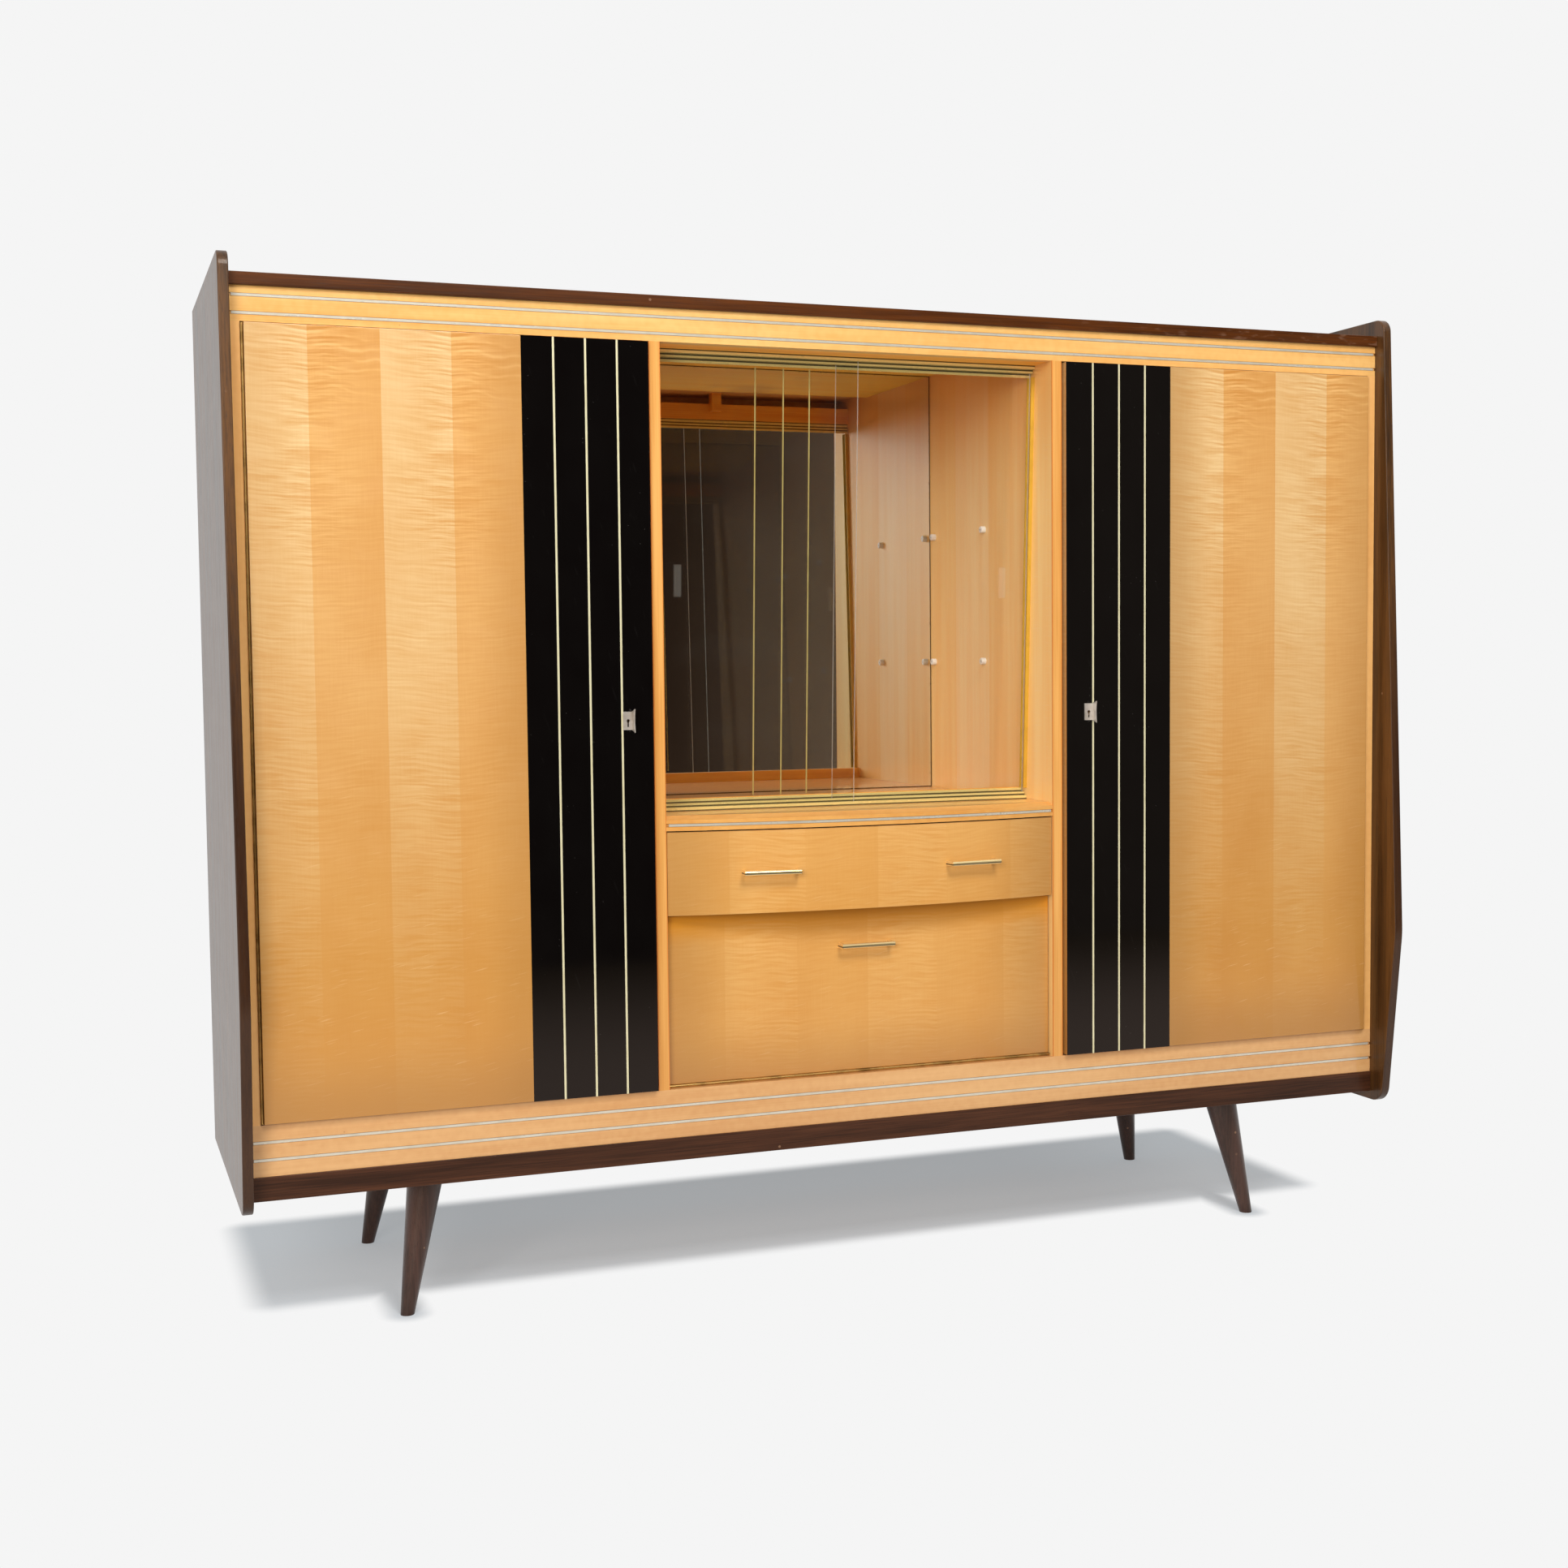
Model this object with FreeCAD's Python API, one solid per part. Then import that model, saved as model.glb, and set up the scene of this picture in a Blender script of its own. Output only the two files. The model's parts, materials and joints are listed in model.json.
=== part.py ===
import FreeCAD, Part
import math
import os

# A free-standing bar cabinet: two bowed gables, a pale veneered front with two doors,
# a mirrored display behind sliding glass, a bowed drawer, a drop flap and four splayed legs.
# Millimetres. X is to the right, Z is up, and the front looks towards minus Y.
# While the pieces are made, y is counted from the face plane, which is the front of the rails.

V = FreeCAD.Vector

# Carcass
inner_width = 1852.0
carcass_depth = 470.0
gable_thickness = 15.0
gable_ear = 26.5
gable_drop = 14.5
gable_front_at_top = 22.0
gable_front_at_knee = 66.0
gable_front_at_bottom = 32.0
knee_rise = 293.0
gable_top_radius = 22.0
gable_knee_radius = 160.0
gable_bottom_radius = 30.0
gable_edge_round = 2.0

# Heights of the front, from the floor up
leg_height = 197.5
apron_height = 34.0
bottom_rail_height = 72.5
opening_height = 1101.0
top_rail_height = 48.0
top_board_thickness = 17.5

# Boards
rail_thickness = 18.0
panel_thickness = 18.0
partition_thickness = 17.0
back_thickness = 5.0
top_board_overhang = 6.0
apron_overhang = 3.0
frame_member_width = 40.0
bearer_width = 110.0
stile_width = 14.5
stile_depth = 22.0
edge_round = 1.0

# Metal strips let into the rails and the sill
inlay_width = 3.6
inlay_depth = 2.0
inlay_proud = 0.3
inlay_groove_side = 0.2
inlay_end_gap = 4.0
top_inlay_drops = (12.5, 36.7)
bottom_inlay_drops = (24.5, 49.2)
sill_inlay_drop = 13.6

# Centre bay
centre_width = 640.0
sill_thickness = 22.0
sill_rise = 386.0
sill_chamfer_depth = 14.0
sill_chamfer_height = 6.0
sill_overhang = 3.0
shelf_under_drawer = 16.0
shelf_below_flap_top = 0.5
mirror_thickness = 4.0
mirror_side_gap = 0.3
ceiling_thickness = 8.0
ceiling_front = 169.0
header_depth = 55.0
header_height = 30.0
block_from_centre = 42.0
block_width = 18.0
block_depth = 20.0
curb_height = 18.0
curb_depth = 14.0

# Drawer
drawer_side_gap = 1.5
drawer_top_gap = 2.0
drawer_bottom_gap = 2.5
drawer_front_thickness = 20.0
drawer_end_recess = 3.0
drawer_bow = 33.0
drawer_length = 400.0
drawer_wall = 14.0
drawer_wall_height = 96.0
drawer_wall_lift = 4.0
drawer_wall_gap = 2.0
drawer_back_thickness = 12.0
drawer_bottom_thickness = 4.0
drawer_bottom_lift = 8.0
glue_gap = 0.1
runner_height = 12.0
runner_width = 8.0
runner_lift = 45.0
runner_start = 44.0
runner_end_gap = 20.0
runner_front_gap = 8.0
runner_clearance = 0.3

# Drop flap and its quadrant stays
flap_recess = 14.0
flap_thickness = 18.0
flap_rise = 257.5
flap_side_gap = 1.5
flap_back_gap = 1.5
stay_width = 10.0
stay_thickness = 3.0
stay_inset = 12.0
stay_tail_angle = -8.0
stay_foot_length = 36.0
stay_foot_width = 14.0
stay_foot_thickness = 2.0
guide_angle = 80.0
guide_depth = 14.0
guide_cheek = 8.0
guide_top_gap = 13.5
guide_clearance = 0.5

# Doors
door_thickness = 20.0
door_proud = 9.0
door_end_gap = 2.0
door_inner_gap = 3.5
black_width = 187.5
black_thickness = 1.0
line_width = 3.0
line_proud = 0.4
lines_per_door = 3

# Piano hinges
knuckle_radius = 2.1
knuckle_pitch = 28.6
knuckle_gap = 0.4
hinge_pin_radius = 1.1
hinge_running_fit = 0.05
leaf_thickness = 0.8
leaf_width = 11.0
leaf_seat = 0.05
leaf_clearance = 0.3
door_pin_proud = 2.0

# Locks, key plates and pulls
lock_from_centre = 379.0
plate_width = 15.0
plate_height = 26.5
plate_thickness = 1.5
pull_height = 34.0
pull_reach = 14.0
pull_thickness = 1.5
keyhole_radius = 2.4
keyhole_slot_width = 2.2
keyhole_slot_length = 9.0
key_bore_radius = 5.0
drill_pin_radius = 1.2
drill_pin_tip = 4.0
lock_case_length = 58.0
lock_case_height = 60.0
lock_case_depth = 11.0
lock_case_setback = 1.0
bolt_length = 40.0
bolt_height = 10.0
bolt_thickness = 5.0
bolt_throw = 10.0
bolt_clearance = 0.3
mortise_end_gap = 2.5
mortise_clearance = 1.0

# Bar handles
handle_length = 87.0
handle_height = 7.0
handle_bar_depth = 5.5
handle_flat_depth = 3.0
handle_finger_gap = 16.0
handle_return_width = 5.0
handle_from_centre = 165.0
flap_handle_drop = 58.5

# Sliding glass and its stepped double tracks
track_front_at_top = 56.0
track_front_at_bottom = 89.5
track_pitch = 7.5
track_lip = 1.6
track_base = 1.6
track_lip_steps = (6.0, 11.5, 17.5)
track_end_gap = 0.5
pane_thickness = 4.0
pane_overlap = 34.0
pane_wall_gap = 3.0
pane_edge_gap = 1.0
pane_line_width = 2.2
pane_line_thickness = 0.3
pane_line_places = (-152.0, -106.5, -64.0)
pane_line_end_gap = 20.0
finger_pull_length = 48.0
finger_pull_radius = 14.0
finger_pull_depth = 1.2
finger_pull_inset = 43.0
finger_pull_rise = 350.0
channel_width = 15.0
channel_depth = 6.0
channel_wall = 1.2
channel_end_gap = 0.5

# Shelves, pegs and studs
shelf_thickness = 16.0
shelf_front = 34.0
shelf_side_gap = 1.0
shelf_back_gap = 5.0
side_shelf_rises = (360.5, 740.5)
peg_radius = 2.5
peg_reach = 10.0
peg_hole_depth = 8.0
peg_hole_clearance = 0.1
peg_rest_gap = 0.05
peg_inset = 60.0
stud_rises = (224.5, 446.0)
stud_places = (242.0, 442.0)
stud_head_radius = 5.75
stud_head_length = 8.0
stud_head_round = 1.5
stud_dimple_radius = 1.0
stud_dimple_depth = 1.5

# Legs
leg_tip_from_gable = 217.5
leg_tip_front = 43.0
leg_tip_from_back = 40.0
leg_splay_out = 0.179
leg_splay_along = 0.14
leg_tip_radius = 10.0
leg_top_radius = 26.5
leg_bolt_radius = 4.0
leg_bolt_in_leg = 30.0
leg_bolt_in_bearer = 24.0
leg_bolt_clearance = 0.1

# Places worked out from the sizes above
half_inner = inner_width / 2
half_centre = centre_width / 2
half_partition = half_centre + partition_thickness
face_y = (gable_front_at_knee - carcass_depth) / 2
apron_bottom = leg_height
rail_bottom = apron_bottom + apron_height
opening_bottom = rail_bottom + bottom_rail_height
opening_top = opening_bottom + opening_height
board_bottom = opening_top + top_rail_height
board_top = board_bottom + top_board_thickness
gable_top = board_top + gable_ear
gable_bottom = apron_bottom - gable_drop
back_front = carcass_depth - back_thickness
knee_height = gable_bottom + knee_rise
floor_top = rail_bottom + panel_thickness
sill_height = opening_bottom + sill_rise
sill_top = sill_height + sill_thickness
ceiling_bottom = board_bottom - ceiling_thickness
header_back = rail_thickness + header_depth
track_width = 2 * track_pitch + track_lip
flap_back = flap_recess + flap_thickness
flap_bottom = opening_bottom + 2 * knuckle_radius
flap_pin_y = flap_recess - knuckle_radius - leaf_clearance
flap_pin_z = opening_bottom + knuckle_radius
flap_top = opening_bottom + flap_rise
shelf_top = flap_top - shelf_below_flap_top
guide_half = stay_width / 2 + guide_clearance + guide_cheek
guide_middle = shelf_top - shelf_under_drawer - guide_top_gap - guide_half
stay_radius = (guide_middle - flap_pin_z) / math.sin(math.radians(guide_angle))
drawer_bottom = shelf_top + drawer_bottom_gap
drawer_top = sill_height - drawer_top_gap
drawer_half = half_centre - drawer_side_gap
bow_radius = (drawer_half ** 2 + drawer_bow ** 2) / (2 * drawer_bow)
bow_centre = drawer_end_recess - drawer_bow + bow_radius
sill_radius = bow_radius + sill_overhang
door_front = -door_proud
door_back = door_front + door_thickness
door_bottom = opening_bottom + door_end_gap
door_top = opening_top - door_end_gap
door_middle = (door_bottom + door_top) / 2
door_inner = half_partition + door_inner_gap
mortise_depth = bolt_throw - door_inner_gap - lock_case_setback + mortise_end_gap
door_pin_x = half_inner - stile_width - knuckle_radius
door_outer = door_pin_x - knuckle_radius
black_outer = door_inner + black_width
pane_edge = half_centre - pane_wall_gap
finger_pull_height = sill_top + finger_pull_rise
floor_of_track = sill_top + track_base
roof_of_track = opening_top - track_base
leg_tip_from_centre = half_inner - leg_tip_from_gable
leg_tip_back = carcass_depth - leg_tip_from_back
glass_lean = (track_front_at_bottom - track_front_at_top) / (roof_of_track - floor_of_track)


def box(x0, x1, y0, y1, z0, z1):
    """A block between two corners."""
    return Part.makeBox(x1 - x0, y1 - y0, z1 - z0, V(x0, y0, z0))


def rod(radius, start, end):
    """A round bar from one point to another."""
    along = end - start
    return Part.makeCylinder(radius, along.Length, start, along)


def softened(solid, radius):
    """The solid with all its edges rounded."""
    return solid.makeFillet(radius, solid.Edges)


def mirrored(shape):
    """The same shape on the other side of the cabinet."""
    return shape.mirror(V(0, 0, 0), V(1, 0, 0))


def prism_yz(points, x0, x1):
    """A straight-sided outline in Y and Z, drawn out along X."""
    corners = [V(x0, y, z) for y, z in points]
    face = Part.Face(Part.makePolygon(corners + corners[:1]))
    return face.extrude(V(x1 - x0, 0, 0))


def rounded_outline(corners):
    """A closed wire through corners given as (point, radius), each rounded by its radius."""
    edges = []
    ends = []
    count = len(corners)
    for i, (point, radius) in enumerate(corners):
        back = (corners[i - 1][0] - point).normalize()
        ahead = (corners[(i + 1) % count][0] - point).normalize()
        half_angle = back.getAngle(ahead) / 2
        reach = radius / math.tan(half_angle)
        start = point + back * reach
        end = point + ahead * reach
        ends.append((start, end))
        if radius > 0:
            bisector = (back + ahead).normalize()
            middle = point + bisector * (radius / math.sin(half_angle) - radius)
            edges.append(Part.Arc(start, middle, end).toShape())
    for i in range(count):
        edges.append(Part.LineSegment(ends[i][1], ends[(i + 1) % count][0]).toShape())
    return Part.Wire(Part.__sortEdges__(edges))


def save(node, *shapes):
    """Writes the solids of one node, moved so that the cabinet's middle is over the origin."""
    solids = [solid for shape in shapes for solid in shape.Solids]
    placed = Part.makeCompound(solids) if len(solids) > 1 else solids[0].copy()
    placed.translate(V(0, face_y, 0))
    placed.exportStep(os.path.join("parts", node + ".step"))


def peg_places():
    """Height and depth of each peg that carries a side shelf."""
    front = shelf_front + peg_inset
    back = back_front - shelf_back_gap - peg_inset
    drop = peg_radius + peg_rest_gap
    return [(y, floor_top + rise - drop) for rise in side_shelf_rises for y in (front, back)]


def peg_holes(wall_x, into):
    """Holes for the shelf pegs, drilled into a wall at wall_x."""
    radius = peg_radius + peg_hole_clearance
    return [rod(radius, V(wall_x, y, z), V(wall_x + into * peg_hole_depth, y, z)) for y, z in peg_places()]


def gable():
    """Left gable: a board with a knee in its front edge and rounded front corners."""
    outline = [
        (V(-half_inner, carcass_depth, gable_bottom), 0),
        (V(-half_inner, carcass_depth, gable_top), 0),
        (V(-half_inner, -gable_front_at_top, gable_top), gable_top_radius),
        (V(-half_inner, -gable_front_at_knee - knee_sharpening(), knee_height), gable_knee_radius),
        (V(-half_inner, -gable_front_at_bottom, gable_bottom), gable_bottom_radius),
    ]
    board = Part.Face(rounded_outline(outline)).extrude(V(-gable_thickness, 0, 0))
    faces_edges = [e for e in board.Edges if abs(e.BoundBox.XLength) < 0.01]
    board = board.makeFillet(gable_edge_round, faces_edges)
    return board.cut(Part.makeCompound(peg_holes(-half_inner, -1)))


def knee_sharpening():
    """How far the knee's corner lies in front of its rounded edge."""
    rise = (gable_front_at_knee - gable_front_at_top) / (gable_top - knee_height)
    fall = (gable_front_at_knee - gable_front_at_bottom) / (knee_height - gable_bottom)
    turn = math.atan(rise) + math.atan(fall)
    tilt = math.atan(fall) - math.atan(rise)
    return gable_knee_radius * (math.cos(tilt / 2) / math.cos(turn / 2) - 1)


def inlay_groove(z, y_face, half_length):
    """Groove for one metal strip in a straight face."""
    half = inlay_width / 2 + inlay_groove_side
    return box(-half_length, half_length, y_face, y_face + inlay_depth, z - half, z + half)


def inlay_strip(z, y_face, half_length):
    """One metal strip, a little proud of its groove and short of its ends."""
    half = inlay_width / 2
    end = half_length - inlay_end_gap
    return box(-end, end, y_face - inlay_proud, y_face + inlay_depth, z - half, z + half)


def rail(z0, z1, drops):
    """A front rail and the strips let into it."""
    solid = box(-half_inner, half_inner, 0, rail_thickness, z0, z1)
    heights = [z1 - drop for drop in drops]
    solid = solid.cut(Part.makeCompound([inlay_groove(z, 0, half_inner) for z in heights]))
    return solid, [inlay_strip(z, 0, half_inner) for z in heights]


def sill():
    """Floor of the display: a board with a bowed, chamfered nose and one strip."""
    base = V(0, bow_centre, sill_height)
    nose_height = sill_thickness - sill_chamfer_height
    body = Part.makeCylinder(sill_radius, nose_height, base)
    cap = Part.makeCone(sill_radius, sill_radius - sill_chamfer_depth, sill_chamfer_height,
                        base + V(0, 0, nose_height))
    front = bow_centre - sill_radius
    room = box(-half_centre, half_centre, front - 1, back_front, sill_height, sill_top)
    board = body.fuse(cap).removeSplitter().common(room)
    strip_z = sill_top - sill_inlay_drop
    groove_half = inlay_width / 2 + inlay_groove_side
    groove = ring(sill_radius + 1, sill_radius - inlay_depth, strip_z - groove_half, strip_z + groove_half)
    strip = ring(sill_radius + inlay_proud, sill_radius - inlay_depth,
                 strip_z - inlay_width / 2, strip_z + inlay_width / 2)
    end = half_centre - inlay_end_gap
    strip = strip.common(box(-end, end, front - 2, half_centre, sill_height, sill_top))
    return board.cut(groove), strip


def ring(outer, inner, z0, z1):
    """A flat ring about the bow's centre."""
    centre = V(0, bow_centre, z0)
    return Part.makeCylinder(outer, z1 - z0, centre).cut(Part.makeCylinder(inner, z1 - z0, centre))


def partition():
    """Left partition: its front edge is a stile above the rail, and it holds pegs, studs and a strike."""
    stile = box(-half_partition, -half_centre, 0, rail_thickness, opening_bottom, opening_top)
    wall = box(-half_partition, -half_centre, rail_thickness, back_front, floor_top, board_bottom).fuse(stile)
    cuts = peg_holes(-half_partition, 1)
    radius = peg_radius + peg_hole_clearance
    for y, z in stud_spots():
        cuts.append(rod(radius, V(-half_centre, y, z), V(-half_centre - peg_hole_depth, y, z)))
    half = bolt_height / 2 + mortise_clearance
    y0, y1 = bolt_span()
    cuts.append(box(-half_partition, -half_partition + mortise_depth, y0 - mortise_clearance,
                    y1 + mortise_clearance, door_middle - half, door_middle + half))
    return wall.removeSplitter().cut(Part.makeCompound(cuts))


def stud_spots():
    """Depth and height of each stud on one wall of the display."""
    return [(y, sill_top + rise) for rise in stud_rises for y in stud_places]


def shelf_stud(y, z):
    """A shelf stud on the left wall: a shank in the wall and a rounded head with a dimple."""
    shank = rod(peg_radius, V(-half_centre - peg_hole_depth, y, z), V(-half_centre, y, z))
    tip = V(-half_centre + stud_head_length, y, z)
    head = rod(stud_head_radius, V(-half_centre, y, z), tip)
    rim = [e for e in head.Edges if abs(e.CenterOfMass.x - tip.x) < 0.01 and e.Length > stud_head_radius]
    head = head.makeFillet(stud_head_round, [e for e in rim if abs(e.BoundBox.XLength) < 0.01])
    dimple = rod(stud_dimple_radius, tip - V(stud_dimple_depth, 0, 0), tip + V(1, 0, 0))
    return head.fuse(shank).cut(dimple)


def bolt_span():
    """Front and back of a lock's bolt, which lies in the middle of its case."""
    middle = door_back + lock_case_depth / 2
    return middle - bolt_thickness / 2, middle + bolt_thickness / 2


def leg(sign_x, tip_y, sign_y):
    """A round, tapered, splayed leg with a bolt hole in its top, and the hole's centre."""
    tip = V(sign_x * leg_tip_from_centre, tip_y, 0)
    lean = V(-sign_x * leg_splay_out, sign_y * leg_splay_along, 1)
    taper = (leg_top_radius - leg_tip_radius) / leg_height
    spare = leg_tip_radius
    low = tip - lean * spare
    high = tip + lean * (leg_height + leg_top_radius)
    r_low = leg_tip_radius - taper * spare
    r_high = leg_top_radius + taper * leg_top_radius
    cone = Part.makeCone(r_low, r_high, (high - low).Length, low, lean)
    reach = 2 * leg_tip_from_centre
    solid = cone.common(box(-reach, reach, -reach, reach, 0, leg_height))
    top = tip + lean * leg_height
    hole = rod(leg_bolt_radius + leg_bolt_clearance, top - V(0, 0, leg_bolt_in_leg), top + V(0, 0, 1))
    return solid.cut(hole), top


def leg_bolt(top, clearance):
    """The bolt between a leg and its bearer, or its hole when it is given a clearance."""
    return rod(leg_bolt_radius + clearance, top - V(0, 0, leg_bolt_in_leg), top + V(0, 0, leg_bolt_in_bearer))


def piano_hinge(length):
    """Frame leaf, moving leaf and pin about Z: both leaves reach to plus Y, the frame's on the minus X side."""
    count = max(2, round(length / knuckle_pitch))
    pitch = length / count
    bore = rod(hinge_pin_radius + hinge_running_fit, V(0, 0, -1), V(0, 0, length + 1))
    leaf_start = knuckle_radius + leaf_clearance
    leaves = []
    for side, first in ((-1, 0), (1, 1)):
        outer = side * (knuckle_radius - leaf_seat)
        x0, x1 = sorted((outer, outer - side * leaf_thickness))
        leaf = box(x0, x1, leaf_start, leaf_width, 0, length)
        rolls = []
        for i in range(first, count, 2):
            z0 = i * pitch + knuckle_gap / 2
            z1 = (i + 1) * pitch - knuckle_gap / 2
            rolls.append(rod(knuckle_radius, V(0, 0, z0), V(0, 0, z1)))
            rolls.append(box(x0, x1, 0, leaf_start + leaf_thickness, z0, z1))
        leaves.append(leaf.multiFuse(rolls).cut(bore))
    pin = rod(hinge_pin_radius, V(0, 0, 0), V(0, 0, length))
    return leaves[0], leaves[1], pin


def door():
    """Left door: a core with a rebate for the black panel, its four black strips and three metal lines."""
    core = softened(box(-door_outer, -door_inner, door_front, door_back, door_bottom, door_top), edge_round)
    rebate_back = door_front + black_thickness
    rebate = box(-black_outer, -door_inner, door_front, rebate_back, door_bottom, door_top)
    core = core.cut(rebate)
    bore = rod(key_bore_radius, V(-lock_from_centre, door_front, door_middle),
               V(-lock_from_centre, door_back, door_middle))
    gap = black_width / (lines_per_door + 1)
    middles = [-door_inner - gap * (i + 1) for i in range(lines_per_door)]
    borders = [-door_inner] + middles + [-black_outer]
    strips = []
    for i in range(lines_per_door + 1):
        right = borders[i] - (line_width / 2 if i > 0 else 0)
        left = borders[i + 1] + (line_width / 2 if i < lines_per_door else 0)
        strips.append(box(left, right, door_front, rebate_back, door_bottom, door_top).cut(bore))
    lines = [box(x - line_width / 2, x + line_width / 2, door_front - line_proud, rebate_back,
                 door_bottom, door_top).cut(bore) for x in middles]
    return core.cut(bore), strips, lines


def key_plate(x):
    """Plate with a keyhole, and a pull that stands forward from its right edge."""
    back = door_front - line_proud
    front = back - plate_thickness
    half = plate_height / 2
    plate = box(x - plate_width / 2, x + plate_width / 2, front, back, door_middle - half, door_middle + half)
    hole = rod(keyhole_radius, V(x, front, door_middle), V(x, back, door_middle))
    slot = box(x - keyhole_slot_width / 2, x + keyhole_slot_width / 2, front, back,
               door_middle - keyhole_slot_length, door_middle)
    edge = x + plate_width / 2
    half_pull = pull_height / 2
    arc = Part.Arc(V(edge, back - pull_reach, door_middle - half_pull),
                   V(edge, back - pull_reach + plate_thickness, door_middle),
                   V(edge, back - pull_reach, door_middle + half_pull)).toShape()
    corners = [V(edge, back - pull_reach, door_middle + half_pull), V(edge, back, door_middle + half),
               V(edge, back, door_middle - half), V(edge, back - pull_reach, door_middle - half_pull)]
    outline = Part.Wire([arc] + Part.makePolygon(corners).Edges)
    pull = Part.Face(outline).extrude(V(-pull_thickness, 0, 0))
    return plate.cut(hole.fuse(slot)).fuse(pull).removeSplitter()


def lock():
    """Left lock: case with the bolt's slot and the key's drill pin, and the bolt drawn back."""
    inner = -door_inner - lock_case_setback
    case = box(inner - lock_case_length, inner, door_back, door_back + lock_case_depth,
               door_middle - lock_case_height / 2, door_middle + lock_case_height / 2)
    y0, y1 = bolt_span()
    half = bolt_height / 2
    c = bolt_clearance
    slot = box(inner - bolt_length - c, inner, y0 - c, y1 + c, door_middle - half - c, door_middle + half + c)
    pin = rod(drill_pin_radius, V(-lock_from_centre, door_back - door_thickness + drill_pin_tip, door_middle),
              V(-lock_from_centre, door_back + 1, door_middle))
    bolt = box(inner - bolt_length, inner, y0, y1, door_middle - half, door_middle + half)
    return case.fuse(pin).cut(slot), bolt


def bar_handle(behind):
    """A half-round bar with a return at each end, which reaches behind a face at y 0: the bar comes first."""
    bar_back = -handle_finger_gap
    half = handle_height / 2
    half_length = handle_length / 2
    flat = bar_back - handle_flat_depth
    top, low = V(-half_length, flat, half), V(-half_length, flat, -half)
    arc = Part.Arc(top, V(-half_length, bar_back - handle_bar_depth, 0), low).toShape()
    corners = [low, V(-half_length, bar_back, -half), V(-half_length, bar_back, half), top]
    outline = Part.Wire([arc] + Part.makePolygon(corners).Edges)
    bar = Part.Face(outline).extrude(V(handle_length, 0, 0))
    starts = (-half_length, half_length - handle_return_width)
    return [bar] + [box(x, x + handle_return_width, bar_back, behind, -half, half) for x in starts]


def drawer_front():
    """The bowed front of the drawer."""
    shell = ring(bow_radius, bow_radius - drawer_front_thickness, drawer_bottom, drawer_top)
    room = box(-drawer_half, drawer_half, bow_centre - bow_radius - 1, half_centre, drawer_bottom, drawer_top)
    return shell.common(room)


def drawer_box():
    """Two grooved sides, a back and a bottom, cut to meet the inside of the bowed front."""
    inside = Part.makeCylinder(bow_radius - drawer_front_thickness - glue_gap, drawer_top - drawer_bottom,
                               V(0, bow_centre, drawer_bottom))
    outer = half_centre - drawer_wall_gap
    inner = outer - drawer_wall
    z0 = drawer_bottom + drawer_wall_lift
    front = drawer_end_recess - drawer_bow
    end = drawer_end_recess + drawer_length
    groove_z = drawer_bottom + runner_lift
    half = runner_height / 2 + runner_clearance
    depth = runner_width - drawer_wall_gap + runner_clearance
    pieces = []
    for sign in (-1, 1):
        x0, x1 = sorted((sign * inner, sign * outer))
        side = box(x0, x1, front, end, z0, z0 + drawer_wall_height).common(inside)
        g0, g1 = sorted((sign * (outer - depth), sign * outer))
        groove = box(g0, g1, runner_start - runner_front_gap, end, groove_z - half, groove_z + half)
        pieces.append(side.cut(groove))
    base = z0 + drawer_bottom_lift
    board = base + drawer_bottom_thickness
    pieces.append(box(-inner, inner, front, end, base, board).common(inside))
    pieces.append(box(-inner, inner, end - drawer_back_thickness, end, board, z0 + drawer_wall_height))
    return pieces


def drawer_runners():
    """Hardwood strips on the partitions, in the grooves of the drawer's sides."""
    z = drawer_bottom + runner_lift
    strips = []
    for sign in (-1, 1):
        x0, x1 = sorted((sign * (half_centre - runner_width), sign * half_centre))
        strips.append(box(x0, x1, runner_start, back_front - runner_end_gap,
                          z - runner_height / 2, z + runner_height / 2))
    return strips


def on_bow(shape, x):
    """A shape made on a flat face at y 0, turned and moved onto the drawer's bow at x."""
    angle = math.asin(x / bow_radius)
    moved = shape.copy()
    moved.rotate(V(0, 0, 0), V(0, 0, 1), math.degrees(angle))
    moved.translate(V(x, bow_centre - bow_radius * math.cos(angle), (drawer_bottom + drawer_top) / 2))
    return moved


def drawer_handles():
    """Two bar handles, their returns cut to sit on the bow."""
    bow = Part.makeCylinder(bow_radius, drawer_top - drawer_bottom, V(0, bow_centre, drawer_bottom))
    places = (-handle_from_centre, handle_from_centre)
    return [on_bow(piece, x).cut(bow) for x in places for piece in bar_handle(handle_return_width)]


def quadrant(inner, outer, x0, x1, start, end):
    """A ring sector about the flap's pin, between two angles up from level, on one side."""
    centre = V(x0, flap_pin_y, flap_pin_z)

    def at(radius, angle):
        turn = math.radians(angle)
        return centre + V(0, radius * math.cos(turn), radius * math.sin(turn))

    middle = (start + end) / 2
    far = Part.Arc(at(outer, start), at(outer, middle), at(outer, end)).toShape()
    near = Part.Arc(at(inner, end), at(inner, middle), at(inner, start)).toShape()
    sides = [Part.LineSegment(at(outer, end), at(inner, end)).toShape(),
             Part.LineSegment(at(inner, start), at(outer, start)).toShape()]
    face = Part.Face(Part.Wire([far, sides[0], near, sides[1]]))
    return face.extrude(V(x1 - x0, 0, 0))


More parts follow.
